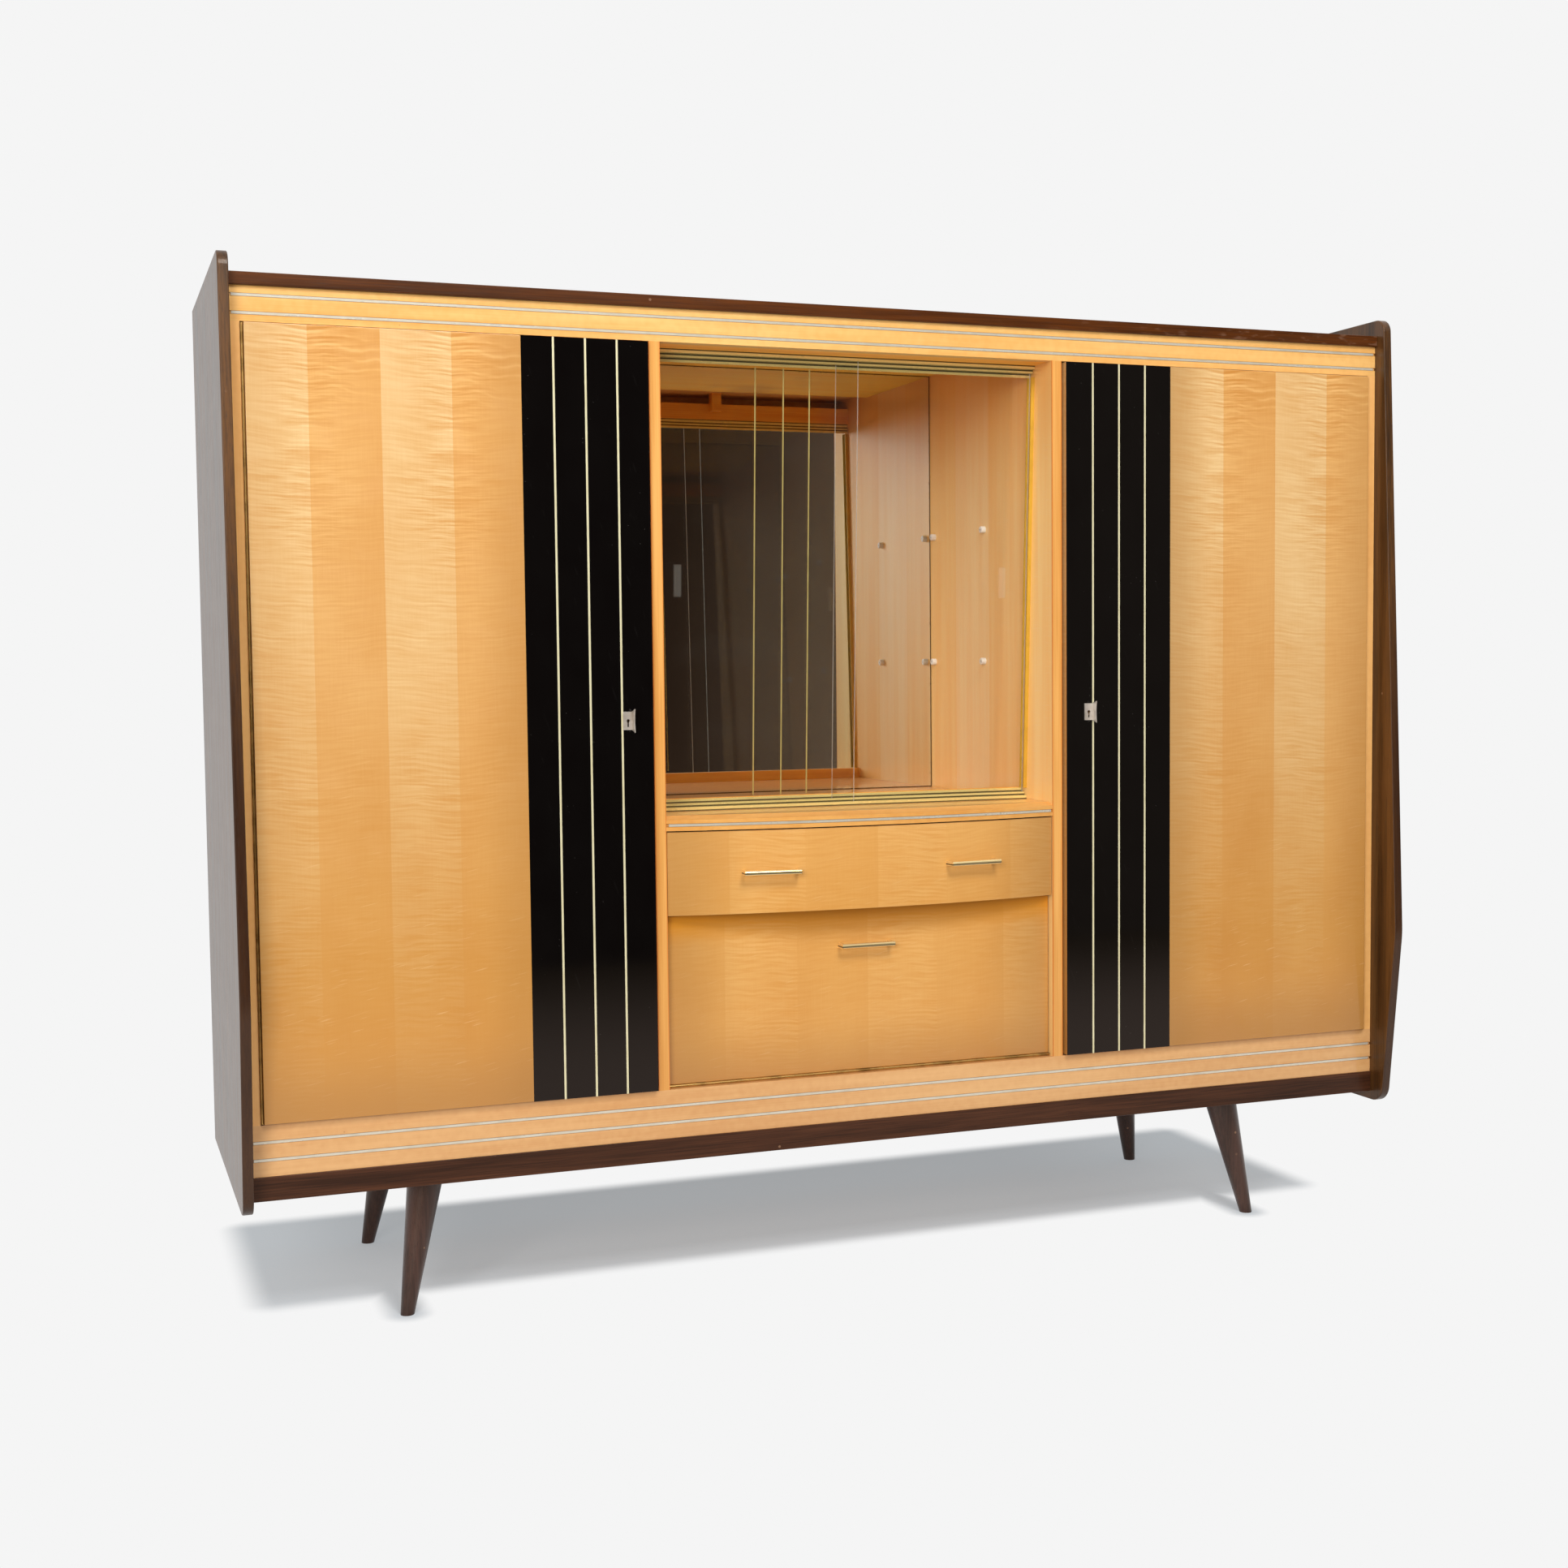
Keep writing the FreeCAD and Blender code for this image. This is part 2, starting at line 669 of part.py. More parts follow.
def flap_stay():
    """Left stay: a quadrant strip about the hinge pin on a foot against the flap's inner face."""
    x0 = -half_centre + stay_inset
    x1 = x0 + stay_thickness
    foot_z = flap_pin_z + stay_radius
    reach = flap_back - flap_pin_y
    outer = stay_radius + stay_width / 2
    start_angle = math.degrees(math.acos((reach + stay_foot_thickness / 2) / outer))
    strip = quadrant(stay_radius - stay_width / 2, outer, x0, x1, stay_tail_angle, start_angle)
    foot = box(x0, x0 + stay_foot_width, flap_back, flap_back + stay_foot_thickness,
               foot_z - stay_foot_length / 2, foot_z + stay_foot_length / 2)
    cut_away = box(x0 - 1, x1 + 1, 0, flap_back, opening_bottom, flap_top)
    return strip.cut(cut_away).fuse(foot).removeSplitter()


def stay_guide():
    """Left guide: a block on the partition with a slot that the stay slides through."""
    y = flap_pin_y + stay_radius * math.cos(math.radians(guide_angle))
    half = stay_width / 2 + guide_clearance
    x0 = -half_centre + stay_inset
    x1 = x0 + stay_thickness
    block = box(-half_centre, x1 + guide_cheek, y - guide_depth / 2, y + guide_depth / 2,
                guide_middle - guide_half, guide_middle + guide_half)
    slot = quadrant(stay_radius - half, stay_radius + half, x0 - guide_clearance, x1 + guide_clearance,
                    guide_angle - guide_depth, guide_angle + guide_depth)
    return block.cut(slot)


def track(y_front, z_base, down):
    """A stepped double track: a base strip and three lips, each longer than the one in front."""
    end = half_centre - track_end_gap
    sign = -1 if down else 1
    z0, z1 = sorted((z_base, z_base + sign * track_base))
    strip = box(-end, end, y_front, y_front + track_width, z0, z1)
    lips = []
    for i, length in enumerate(track_lip_steps):
        y = y_front + i * track_pitch
        z0, z1 = sorted((z_base, z_base + sign * length))
        lips.append(box(-end, end, y, y + track_lip, z0, z1))
    return strip.multiFuse(lips).removeSplitter()


def leaning_slab(x0, x1, offset, depth, z0, z1):
    """A slab parallel to the glass: its front lies offset behind the tracks' first lip."""
    def front(z):
        return track_front_at_top + offset + (roof_of_track - z) * glass_lean
    corners = [(front(z0), z0), (front(z0) + depth, z0), (front(z1) + depth, z1), (front(z1), z1)]
    return prism_yz(corners, x0, x1)


def pane_offset(groove):
    """Distance from the first lip to the front of a pane in the first or the second groove."""
    return track_lip + groove * track_pitch + (track_pitch - track_lip - pane_thickness) / 2


def pane(x0, x1, groove, pull_x):
    """One sliding pane with a ground finger pull in its front."""
    offset = pane_offset(groove)
    z0 = floor_of_track + pane_edge_gap
    z1 = roof_of_track - pane_edge_gap
    glass = leaning_slab(x0, x1, offset, pane_thickness, z0, z1)
    front = track_front_at_top + offset + (roof_of_track - finger_pull_height) * glass_lean
    middle = V(pull_x, front + finger_pull_depth - finger_pull_radius, finger_pull_height)
    along = V(0, -glass_lean, 1) * (finger_pull_length / 2)
    return glass.cut(rod(finger_pull_radius, middle - along, middle + along))


def glass_channel():
    """Left channel: a base on the partition and two flanges that take in the edges of the panes."""
    wall = -half_centre
    start = (track_width - channel_width) / 2
    z0 = sill_top + track_lip_steps[-1] + channel_end_gap
    z1 = opening_top - track_lip_steps[-1] - channel_end_gap
    whole = leaning_slab(wall, wall + channel_depth, start, channel_width, z0, z1)
    hollow = leaning_slab(wall + channel_wall, wall + channel_depth + 1, start + channel_wall,
                          channel_width - 2 * channel_wall, z0 - 1, z1 + 1)
    return whole.cut(hollow)


def build_carcass():
    left = gable()
    save("gable_left", left)
    save("gable_right", mirrored(left))
    top = box(-half_inner, half_inner, -top_board_overhang, carcass_depth, board_bottom, board_top)
    save("top_board", softened(top, edge_round))
    upper, upper_strips = rail(opening_top, board_bottom, top_inlay_drops)
    lower, lower_strips = rail(rail_bottom, opening_bottom, bottom_inlay_drops)
    board, sill_strip = sill()
    save("top_rail", upper)
    save("bottom_rail", lower)
    save("rail_inlays", *upper_strips, *lower_strips, sill_strip)
    save("display_floor", board)
    save("floor_panel", box(-half_inner, half_inner, rail_thickness, back_front, rail_bottom, floor_top))
    stile = box(-half_inner, -half_inner + stile_width, 0, stile_depth, opening_bottom, opening_top)
    save("hinge_stiles", stile, mirrored(stile))
    wall = partition()
    save("partition_left", wall)
    save("partition_right", mirrored(wall))
    seam = (half_centre + half_partition) / 2
    borders = (-half_inner, -seam, seam, half_inner)
    panels = [box(left, right, back_front, carcass_depth, rail_bottom, board_bottom)
              for left, right in zip(borders, borders[1:])]
    save("back_panels", *panels)


def build_base():
    frame_front = frame_member_width - apron_overhang
    frame_back = back_front - frame_member_width
    apron = box(-half_inner, half_inner, -apron_overhang, frame_front, apron_bottom, rail_bottom)
    save("base_apron", softened(apron, edge_round))
    stands = {"leg_front_left": leg(-1, leg_tip_front, 1), "leg_front_right": leg(1, leg_tip_front, 1),
              "leg_back_left": leg(-1, leg_tip_back, -1), "leg_back_right": leg(1, leg_tip_back, -1)}
    for node, (solid, top) in stands.items():
        save(node, solid)
    tops = [top for solid, top in stands.values()]
    holes = Part.makeCompound([leg_bolt(top, leg_bolt_clearance) for top in tops])
    members = [box(-half_inner, half_inner, frame_back, back_front, apron_bottom, rail_bottom)]
    for sign in (-1, 1):
        middle = sign * abs(tops[0].x)
        bearer = box(middle - bearer_width / 2, middle + bearer_width / 2, frame_front, frame_back,
                     apron_bottom, rail_bottom)
        members.append(bearer.cut(holes))
    save("base_frame", *members)
    save("leg_bolts", *[leg_bolt(top, 0) for top in tops])


def build_doors():
    core, strips, lines = door()
    frame_leaf, door_leaf, pin = [piece.translated(V(-door_pin_x, -door_pin_proud, door_bottom))
                                  for piece in piano_hinge(door_top - door_bottom)]
    case, bolt = lock()
    for side, place in (("left", lambda shape: shape), ("right", mirrored)):
        save("door_" + side, place(core))
        save("door_" + side + "_black_panel", *[place(strip) for strip in strips])
        save("door_" + side + "_lines", *[place(line) for line in lines])
        save("hinge_" + side + "_door_leaf", place(door_leaf))
        save("lock_" + side, place(case))
        save("lock_bolt_" + side, place(bolt))
    save("escutcheon_left", key_plate(-lock_from_centre))
    save("escutcheon_right", key_plate(lock_from_centre))
    return [frame_leaf, mirrored(frame_leaf)], [pin, mirrored(pin)]


def build_flap():
    half = half_centre - flap_side_gap
    panel = box(-half, half, flap_recess, flap_back, flap_bottom, flap_top)
    save("flap", softened(panel, edge_round))
    place = V(0, flap_recess, flap_top - flap_handle_drop)
    save("flap_handle", *[piece.translated(place) for piece in bar_handle(0)])
    stay = flap_stay()
    save("flap_stays", stay, mirrored(stay))
    guide = stay_guide()
    save("stay_guides", guide, mirrored(guide))
    turn = FreeCAD.Rotation(V(0, 0, 1), V(0, 1, 0), V(-1, 0, 0), "ZXY")
    placement = FreeCAD.Placement(V(half, flap_pin_y, flap_pin_z), turn)
    pieces = piano_hinge(2 * half)
    for piece in pieces:
        piece.Placement = placement
    frame_leaf, flap_leaf, pin = pieces
    save("flap_hinge_leaf", flap_leaf)
    return frame_leaf, pin


def build_drawer():
    save("drawer_shelf", box(-half_centre, half_centre, flap_back + flap_back_gap, back_front,
                             shelf_top - shelf_under_drawer, shelf_top))
    save("drawer_front", drawer_front())
    save("drawer_box", *drawer_box())
    save("drawer_runners", *drawer_runners())
    save("drawer_handles", *drawer_handles())


def build_display():
    mirror_half = half_centre - mirror_side_gap
    save("mirror", box(-mirror_half, mirror_half, back_front - mirror_thickness, back_front,
                       sill_top, ceiling_bottom))
    save("display_ceiling", box(-half_centre, half_centre, ceiling_front, back_front,
                                ceiling_bottom, board_bottom))
    header = box(-half_centre, half_centre, rail_thickness, header_back,
                 opening_top, opening_top + header_height)
    block_x = block_from_centre - block_width / 2
    block = box(block_x, block_x + block_width, header_back, header_back + block_depth,
                opening_top + header_height / 2, board_bottom)
    save("display_header", header, block)
    curb_front = track_front_at_bottom + track_width
    save("display_curb", box(-half_centre, half_centre, curb_front, curb_front + curb_depth,
                             sill_top, sill_top + curb_height))
    save("track_top", track(track_front_at_top, opening_top, True))
    save("track_bottom", track(track_front_at_bottom, sill_top, False))
    lap = pane_overlap / 2
    save("glass_pane_left", pane(-pane_edge, lap, 0, -pane_edge + finger_pull_inset))
    save("glass_pane_right", pane(-lap, pane_edge, 1, pane_edge - finger_pull_inset))
    line_front = pane_offset(0) - pane_line_thickness
    z0 = floor_of_track + pane_line_end_gap
    z1 = roof_of_track - pane_line_end_gap
    half = pane_line_width / 2
    save("pane_lines", *[leaning_slab(x - half, x + half, line_front, pane_line_thickness, z0, z1)
                         for x in pane_line_places])
    channel = glass_channel()
    save("glass_channels", channel, mirrored(channel))
    studs = [shelf_stud(y, z) for y, z in stud_spots()]
    save("shelf_studs", *studs, *[mirrored(stud) for stud in studs])


def build_side_shelves():
    x0 = -half_inner + shelf_side_gap
    x1 = -half_partition - shelf_side_gap
    heights = [floor_top + rise for rise in side_shelf_rises]
    shelves = [box(x0, x1, shelf_front, back_front - shelf_back_gap, z, z + shelf_thickness) for z in heights]
    save("side_shelves", *shelves, *[mirrored(shelf) for shelf in shelves])
    pegs = []
    for y, z in peg_places():
        pegs.append(rod(peg_radius, V(-half_inner - peg_hole_depth, y, z), V(-half_inner + peg_reach, y, z)))
        pegs.append(rod(peg_radius, V(-half_partition - peg_reach, y, z),
                        V(-half_partition + peg_hole_depth, y, z)))
    save("shelf_pegs", *pegs, *[mirrored(peg) for peg in pegs])


def main():
    os.makedirs("parts", exist_ok=True)
    build_carcass()
    build_base()
    door_frame_leaves, door_pins = build_doors()
    flap_frame_leaf, flap_pin = build_flap()
    save("hinge_frame_leaves", *door_frame_leaves, flap_frame_leaf)
    save("hinge_pins", *door_pins, flap_pin)
    build_drawer()
    build_display()
    build_side_shelves()


main()
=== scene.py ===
import json
import math

import bmesh
import bpy
from mathutils import Matrix, Vector


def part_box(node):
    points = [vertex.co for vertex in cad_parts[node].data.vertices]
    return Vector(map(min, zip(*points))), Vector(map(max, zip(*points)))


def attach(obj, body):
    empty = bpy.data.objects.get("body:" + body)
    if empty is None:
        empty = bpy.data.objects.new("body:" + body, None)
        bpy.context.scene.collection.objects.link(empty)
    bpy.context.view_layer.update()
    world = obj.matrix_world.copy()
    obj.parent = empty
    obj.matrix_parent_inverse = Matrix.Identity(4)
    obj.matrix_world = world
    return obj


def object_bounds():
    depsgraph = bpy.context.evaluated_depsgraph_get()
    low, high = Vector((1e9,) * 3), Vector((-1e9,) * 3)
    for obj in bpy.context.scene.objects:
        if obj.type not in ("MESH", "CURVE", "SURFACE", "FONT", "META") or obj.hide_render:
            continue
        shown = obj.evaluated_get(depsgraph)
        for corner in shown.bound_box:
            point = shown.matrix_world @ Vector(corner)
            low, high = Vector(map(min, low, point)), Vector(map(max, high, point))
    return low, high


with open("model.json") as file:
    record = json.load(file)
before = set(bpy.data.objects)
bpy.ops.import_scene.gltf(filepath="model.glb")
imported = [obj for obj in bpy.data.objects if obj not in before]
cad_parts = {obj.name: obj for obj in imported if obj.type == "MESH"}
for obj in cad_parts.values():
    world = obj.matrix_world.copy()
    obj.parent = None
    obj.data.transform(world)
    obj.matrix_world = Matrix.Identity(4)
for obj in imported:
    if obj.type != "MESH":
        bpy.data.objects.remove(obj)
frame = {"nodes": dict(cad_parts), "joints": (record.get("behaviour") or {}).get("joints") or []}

# Looks of the bar cabinet: figured pale veneer, dark gables, black gloss panels, brass and glass.
# Metres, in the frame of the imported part. The front looks towards minus Y.

cad_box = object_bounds()

# The photograph's camera, with its sensor in millimetres
IMAGE_SIDE = 1932
FOCAL_PIXELS = 2432.6
SENSOR = 36.0
CAMERA_PLACE = Vector((-1.1606, -2.9882, 0.9323))
CAMERA_LOOK = Vector((0.34503, 0.93669, -0.05980))
CAMERA_RIGHT = Vector((0.93810, -0.34621, -0.01028))

# Studio light, and the dim room behind the camera
WHITE = (1.0, 1.0, 1.0, 1.0)
BACKDROP = 0.913
FILL = 0.25
BOUNCE = 0.55
KEY_PLACE = Vector((-3.4, -5.0, 2.2))
KEY_SIDE = 2.4
KEY_WATTS = 190.0
TOP_PLACE = Vector((-0.1, -2.9, 3.3))
TOP_SIDE = 1.2
TOP_WATTS = 74.0
LIGHT_AIM = Vector((0.0, 0.0, 0.8))
ROOM_DISTANCE = 3.4
ROOM_HALF_WIDTH = 5.0
ROOM_HEIGHT = 3.2
ROOM_LIGHTER = (0.9, 2.6)

# Floor: its paint, its glow (painted light in the shade), its colour ahead of the cabinet as gloss shows
# it, and its shade's painted outline
FLOOR_SIDE = 30.0
FLOOR_PAINT_DARK = (0.480, 0.4925, 0.505, 1.0)
FLOOR_PAINT_LIGHT = (0.485, 0.4975, 0.510, 1.0)
FLOOR_GLOW = 0.285
FLOOR_TINT_MIDDLE = (0.85, 0.935, 1.0, 1.0)
FLOOR_TINT_ENDS = (1.07, 1.17, 1.245, 1.0)
TINT_CHANGE = (0.45, 0.95)
AHEAD_NEAR = (1.15, 0.85, 0.70, 1.0)
AHEAD_FAR = (0.14, 0.09, 0.03, 1.0)
AHEAD_CHANGE = (-3.6, -1.6)
AHEAD_START = (-1.6, -1.2)
SHADOW_BACK = 0.173
SHADOW_INSET = 0.062
SHADOW_EDGE = 0.060
FOOT_RADIUS = 0.010
FOOT_SHADOW = 0.045

# Places on the cabinet, and the depth that a mask takes a face to have
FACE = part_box("bottom_rail")[0].y
DOOR_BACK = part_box("door_left")[1].y
DOOR_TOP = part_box("door_left")[1].z
DOOR_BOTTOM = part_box("door_left")[0].z
BLACK_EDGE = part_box("door_right_black_panel")[1].x
INNER_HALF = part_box("bottom_rail")[1].x
CENTRE_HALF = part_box("partition_right")[0].x
PARTITION_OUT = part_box("partition_right")[1].x
BACK_SEAM = (CENTRE_HALF + PARTITION_OUT) / 2
BOARD_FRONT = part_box("top_board")[0].y
BOARD_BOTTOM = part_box("top_board")[0].z
APRON_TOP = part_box("base_apron")[1].z
SILL_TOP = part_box("display_floor")[1].z
BEHIND_FACE = FACE + 0.002
SKIN = 0.0004

# Veneer: its leaves, the figure across them, and how far its painted shade and stained arrises reach
DOOR_LEAF = 0.0987
LEFT_DOOR_BORDER = -0.9227
CENTRE_LEAF = 0.1165
CENTRE_BORDER = -0.4600
WALL_BORDERS = (0.023, 0.153)
RIPPLE_SPACING = 0.0062
CURL_SPACING = 0.0150
CURL_REACH = (0.04, 0.13)
DOOR_END_REACH = 0.085
CENTRE_END_REACH = 0.14
CENTRE_FADE = 0.35
FOOT_REACH = 0.12
FLAP_FOOT_DROP = 0.02
PAINTED_SHADOW_REACH = 0.055
# How far the painted shade along each edge of a strip reaches.
STRIP_SHADE = (0.0002, 0.0012)
ARRIS_STAIN = (0.0006, 0.0022)
WALL_START = (0.001, 0.003)
HIGH_WALL_SHADE = (0.46, 0.74)

# Dark wood, back panels and handles, each soft edge as the start and the end of its change
# The first is where the painted shade low on a gable's front edge fades out.
GABLE_EDGE_SHADE = (0.75, 1.25)
NOSE_DEPTH = (0.002, 0.010)
NOSE_WORN = (0.1, 0.9)
BACK_SEAM_EDGE = (0.0004, 0.0014)
HANDLE_BAND = 0.34
HANDLE_BAND_EDGE = (0.0007, 0.0012)

# Small things in the display
PULL_HEIGHT = SILL_TOP + 0.350
PULL_FROM_CENTRE = 0.274
PULL_WIDE = (0.0052, 0.0064)
PULL_TALL = (0.0225, 0.0255)
PANE_GLEAM = 0.032
MIRROR_SPOTS = (0.0, 0.006)
MIRROR_RIM = (0.0012, 0.0022)
# How deep in the tracks the painted shade at the foot of each lip lies, and how soft it is.
TRACK_LIP_SHADE = (0.0005, 0.0070, 0.0125)
TRACK_LIP_SHADE_EDGE = (0.0009, 0.0015)
STUD_DEPTHS = (FACE + 0.242, FACE + 0.442)
STUD_HEIGHTS = (SILL_TOP + 0.2245, SILL_TOP + 0.446)
STUD_DIMPLE = (0.0009, 0.0013)

# Screws and nails: the radius and height of each head, the shares of its parts, and the places
HINGE_SCREW = (0.0026, 0.0005)
CASE_SCREW = (0.0030, 0.0009)
GUIDE_SCREW = (0.0028, 0.0009)
NAIL = (0.0032, 0.0009)
ARC_STEPS = 10
HEAD_SPIN = 2.4
SEAT_SHARE = 0.3
SLOT_SHARE = 0.14
SLOT_FLOOR = 0.2
SCREW_TAPER = 0.9
NAIL_RIM = 0.5
NAIL_STEP = 0.94
NAIL_TAPER = 0.6
HINGE_SCREWS = 10
HINGE_SCREW_END = 0.030
HINGE_SCREW_BACK = 0.0068
HINGE_LEAF_FACE = 0.00125
CASE_SCREW_INSET = 0.007
STAY_FOOT_FACE = FACE + 0.034
STAY_SCREW_INSET = 0.0088
STAY_SCREW_DROPS = (0.006, 0.030)
GUIDE_FACE = CENTRE_HALF - 0.023
GUIDE_SCREW_INSET = 0.004
NAIL_INSET = 0.009
NAIL_SPACING = 0.12
NAILS_UP = 11


def tone(red, green, blue):
    """A colour from its screen values, 0 to 255."""
    def linear(value):
        part = value / 255
        return part / 12.92 if part <= 0.04045 else ((part + 0.055) / 1.055) ** 2.4
    return (linear(red), linear(green), linear(blue), 1.0)


class Shade:
    """A socket of a node tree, or the tree alone: Python's operators on it add Math nodes."""

    def __init__(self, tree, socket=None):
        self.tree = tree
        self.socket = socket

    def add(self, kind, settings=None, inputs=None, output=0):
        """Adds a node, makes its settings, fills or links its inputs, and returns one of its outputs."""
        node = self.tree.nodes.new("ShaderNode" + kind)
        for name, value in (settings or {}).items():
            setattr(node, name, value)
        for key, value in (inputs or {}).items():
            self.feed(node.inputs[key], value)
        return Shade(self.tree, node.outputs[output])

    def feed(self, socket, value):
        """Links a shade to a socket, or sets the socket to a plain value."""
        if isinstance(value, Shade):
            self.tree.links.new(value.socket, socket)
        else:
            socket.default_value = value

    def math(self, operation, *others):
        return self.add("Math", {"operation": operation}, dict(enumerate((self, *others))))

    def __add__(self, other):
        return self.math("ADD", other)

    __radd__ = __add__

    def __sub__(self, other):
        return self.math("SUBTRACT", other)

    def __rsub__(self, other):
        return self.add("Math", {"operation": "SUBTRACT"}, {0: other, 1: self})

    def __mul__(self, other):
        return self.math("MULTIPLY", other)

    __rmul__ = __mul__

    def __truediv__(self, other):
        return self.math("DIVIDE", other)

    def __gt__(self, other):
        return self.math("GREATER_THAN", other)

    def __lt__(self, other):
        return self.math("LESS_THAN", other)

    def eased(self, low, high):
        """0 below low and 1 above high, smooth between them."""
        edges = {"Value": self, "From Min": low, "From Max": high}
        return self.add("MapRange", {"interpolation_type": "SMOOTHSTEP"}, edges)

    def clamped(self):
        return self.add("Clamp", None, {"Value": self})

    def blend(self, first, second):
        """The first colour where this is 0 and the second where it is 1."""
        return self.add("Mix", {"data_type": "RGBA"}, {0: self, 6: first, 7: second}, output=2)

    def span(self, other):
        """The distance over two steps at a right angle."""
        return (self * self + other * other).math("SQRT")

    def parts(self):
        """The three parts of a vector."""
        split = self.add("SeparateXYZ", None, {0: self})
        return [Shade(self.tree, socket) for socket in split.socket.node.outputs]

    def place(self):
        """The three coordinates of a point on the piece at rest."""
        return self.add("TexCoord", output="Object").parts()

    def normal(self):
        """The three parts of the direction that a face looks in."""
        return self.add("NewGeometry", output="True Normal").parts()

    def noise(self, x, y, z, detail=2.0, roughness=0.5):
        """Soft noise about a half, one lump per unit of x, y and z."""
        point = self.add("CombineXYZ", None, {0: x, 1: y, 2: z})
        settings = {"Vector": point, "Scale": 1.0, "Detail": detail, "Roughness": roughness}
        return self.add("TexNoise", None, settings)

    def ripple(self, level, spacing):
        """Even waves over a level, 0 to 1, thin where they are light."""
        wave = (level * (2 * math.pi / spacing)).math("SINE") * 0.5 + 0.5
        return wave * wave

    def specks(self, x, y, z, size):
        """1 in small round spots, one spot per unit of x, y and z, and 0 between them."""
        point = self.add("CombineXYZ", None, {0: x, 1: y, 2: z})
        return self.add("TexVoronoi", None, {"Vector": point, "Scale": 1.0}) < size


def new_finish(name):
    """A new material and its node tree."""
    made = bpy.data.materials.new(name)
    made.use_nodes = True
    return made, Shade(made.node_tree)


def lay_on(made, paint, sockets, height=None, depth=0.0):
    """Feeds the material's surface, with a bump of a depth in metres where there is a height."""
    surface = made.node_tree.nodes["Principled BSDF"]
    for name, value in sockets.items():
        paint.feed(surface.inputs[name], value)
    if height is not None:
        bump = paint.add("Bump", None, {"Height": height, "Distance": depth, "Strength": 1.0})
        paint.feed(surface.inputs["Normal"], bump)
    return made


def grain(paint, along, lines, run, detail=3.0):
    """Grain along one axis, with a number of lines to the metre; a small run makes it long."""
    rates = [lines * run if axis == along else lines for axis in "XYZ"]
    return paint.noise(*[part * rate for part, rate in zip(paint.place(), rates)], detail=detail)


def leaf_figure(paint, across, leaf_width, second, z, top, rise, curls):
    """The figure of a leaf, of threads, ripples in streaks and curls near the top, and the ripple alone."""
    wander = paint.noise(across * 9, 0.0, z * 9, detail=3.0)
    slope = z + across * 0.06 + wander * 0.016
    ripple = paint.ripple(slope, RIPPLE_SPACING)
    threads = paint.noise(across * 17, 3.0, slope * 260, detail=2.5).eased(0.34, 0.66) - 0.5
    curl = paint.ripple(z - across * 0.08 + wander * 0.052, CURL_SPACING)
    curl = curl * curl
    streaks = paint.noise(across * 16, 1.0, z * 60, detail=2.0).eased(0.36, 0.60)
    patches = paint.noise(across * 7, 7.0, z * 5, detail=1.0).eased(0.36, 0.60)
    near_top = 1 - (top - z).eased(*CURL_REACH)
    everywhere = 0.5 - second * 0.3
    by_joint = (across / leaf_width).eased(0.10, 0.80) * (1 - everywhere) + everywhere
    on_light = patches * 0.65 + 0.40
    on_dark = near_top * 0.4 + patches * 0.5 + rise * 0.3
    strength = (on_light + second * (on_dark - on_light)) * by_joint
    curled = (curl * streaks * (second * 0.32 + 0.08) - second * 0.10 - 0.04) * near_top * curls
    rippled = (ripple - 0.37) * streaks * strength * 0.24
    return rippled + threads * (strength * 0.38 + 0.06) + curled, ripple


def scuffs_and_low_shade(paint, front, rise, cloud, foot):
    """A veneered front, scuffed low down from use, with painted shade that makes it duller low down and
    darkest at its foot.
    """
    x, z = paint.place()[::2]
    # Painted shade: a duller, darker colour low down.
    low = (1 - rise.eased(0.0, 0.70)) * 0.7
    front = low.blend(front, (cloud * 1.6 + 0.5).clamped().blend(tone(196, 128, 44), tone(212, 146, 54)))
    scuffs = paint.noise((x + z * 0.4) * 24, 9.0, (z - x * 0.22) * 430, detail=1.0).eased(0.64, 0.76)
    front = (scuffs * low * 0.45).blend(front, tone(240, 202, 148))
    # Painted shade, darkest at the foot.
    return ((1 - (z - foot).eased(0.0, FOOT_REACH)) * 0.65).blend(front, tone(176, 122, 62))


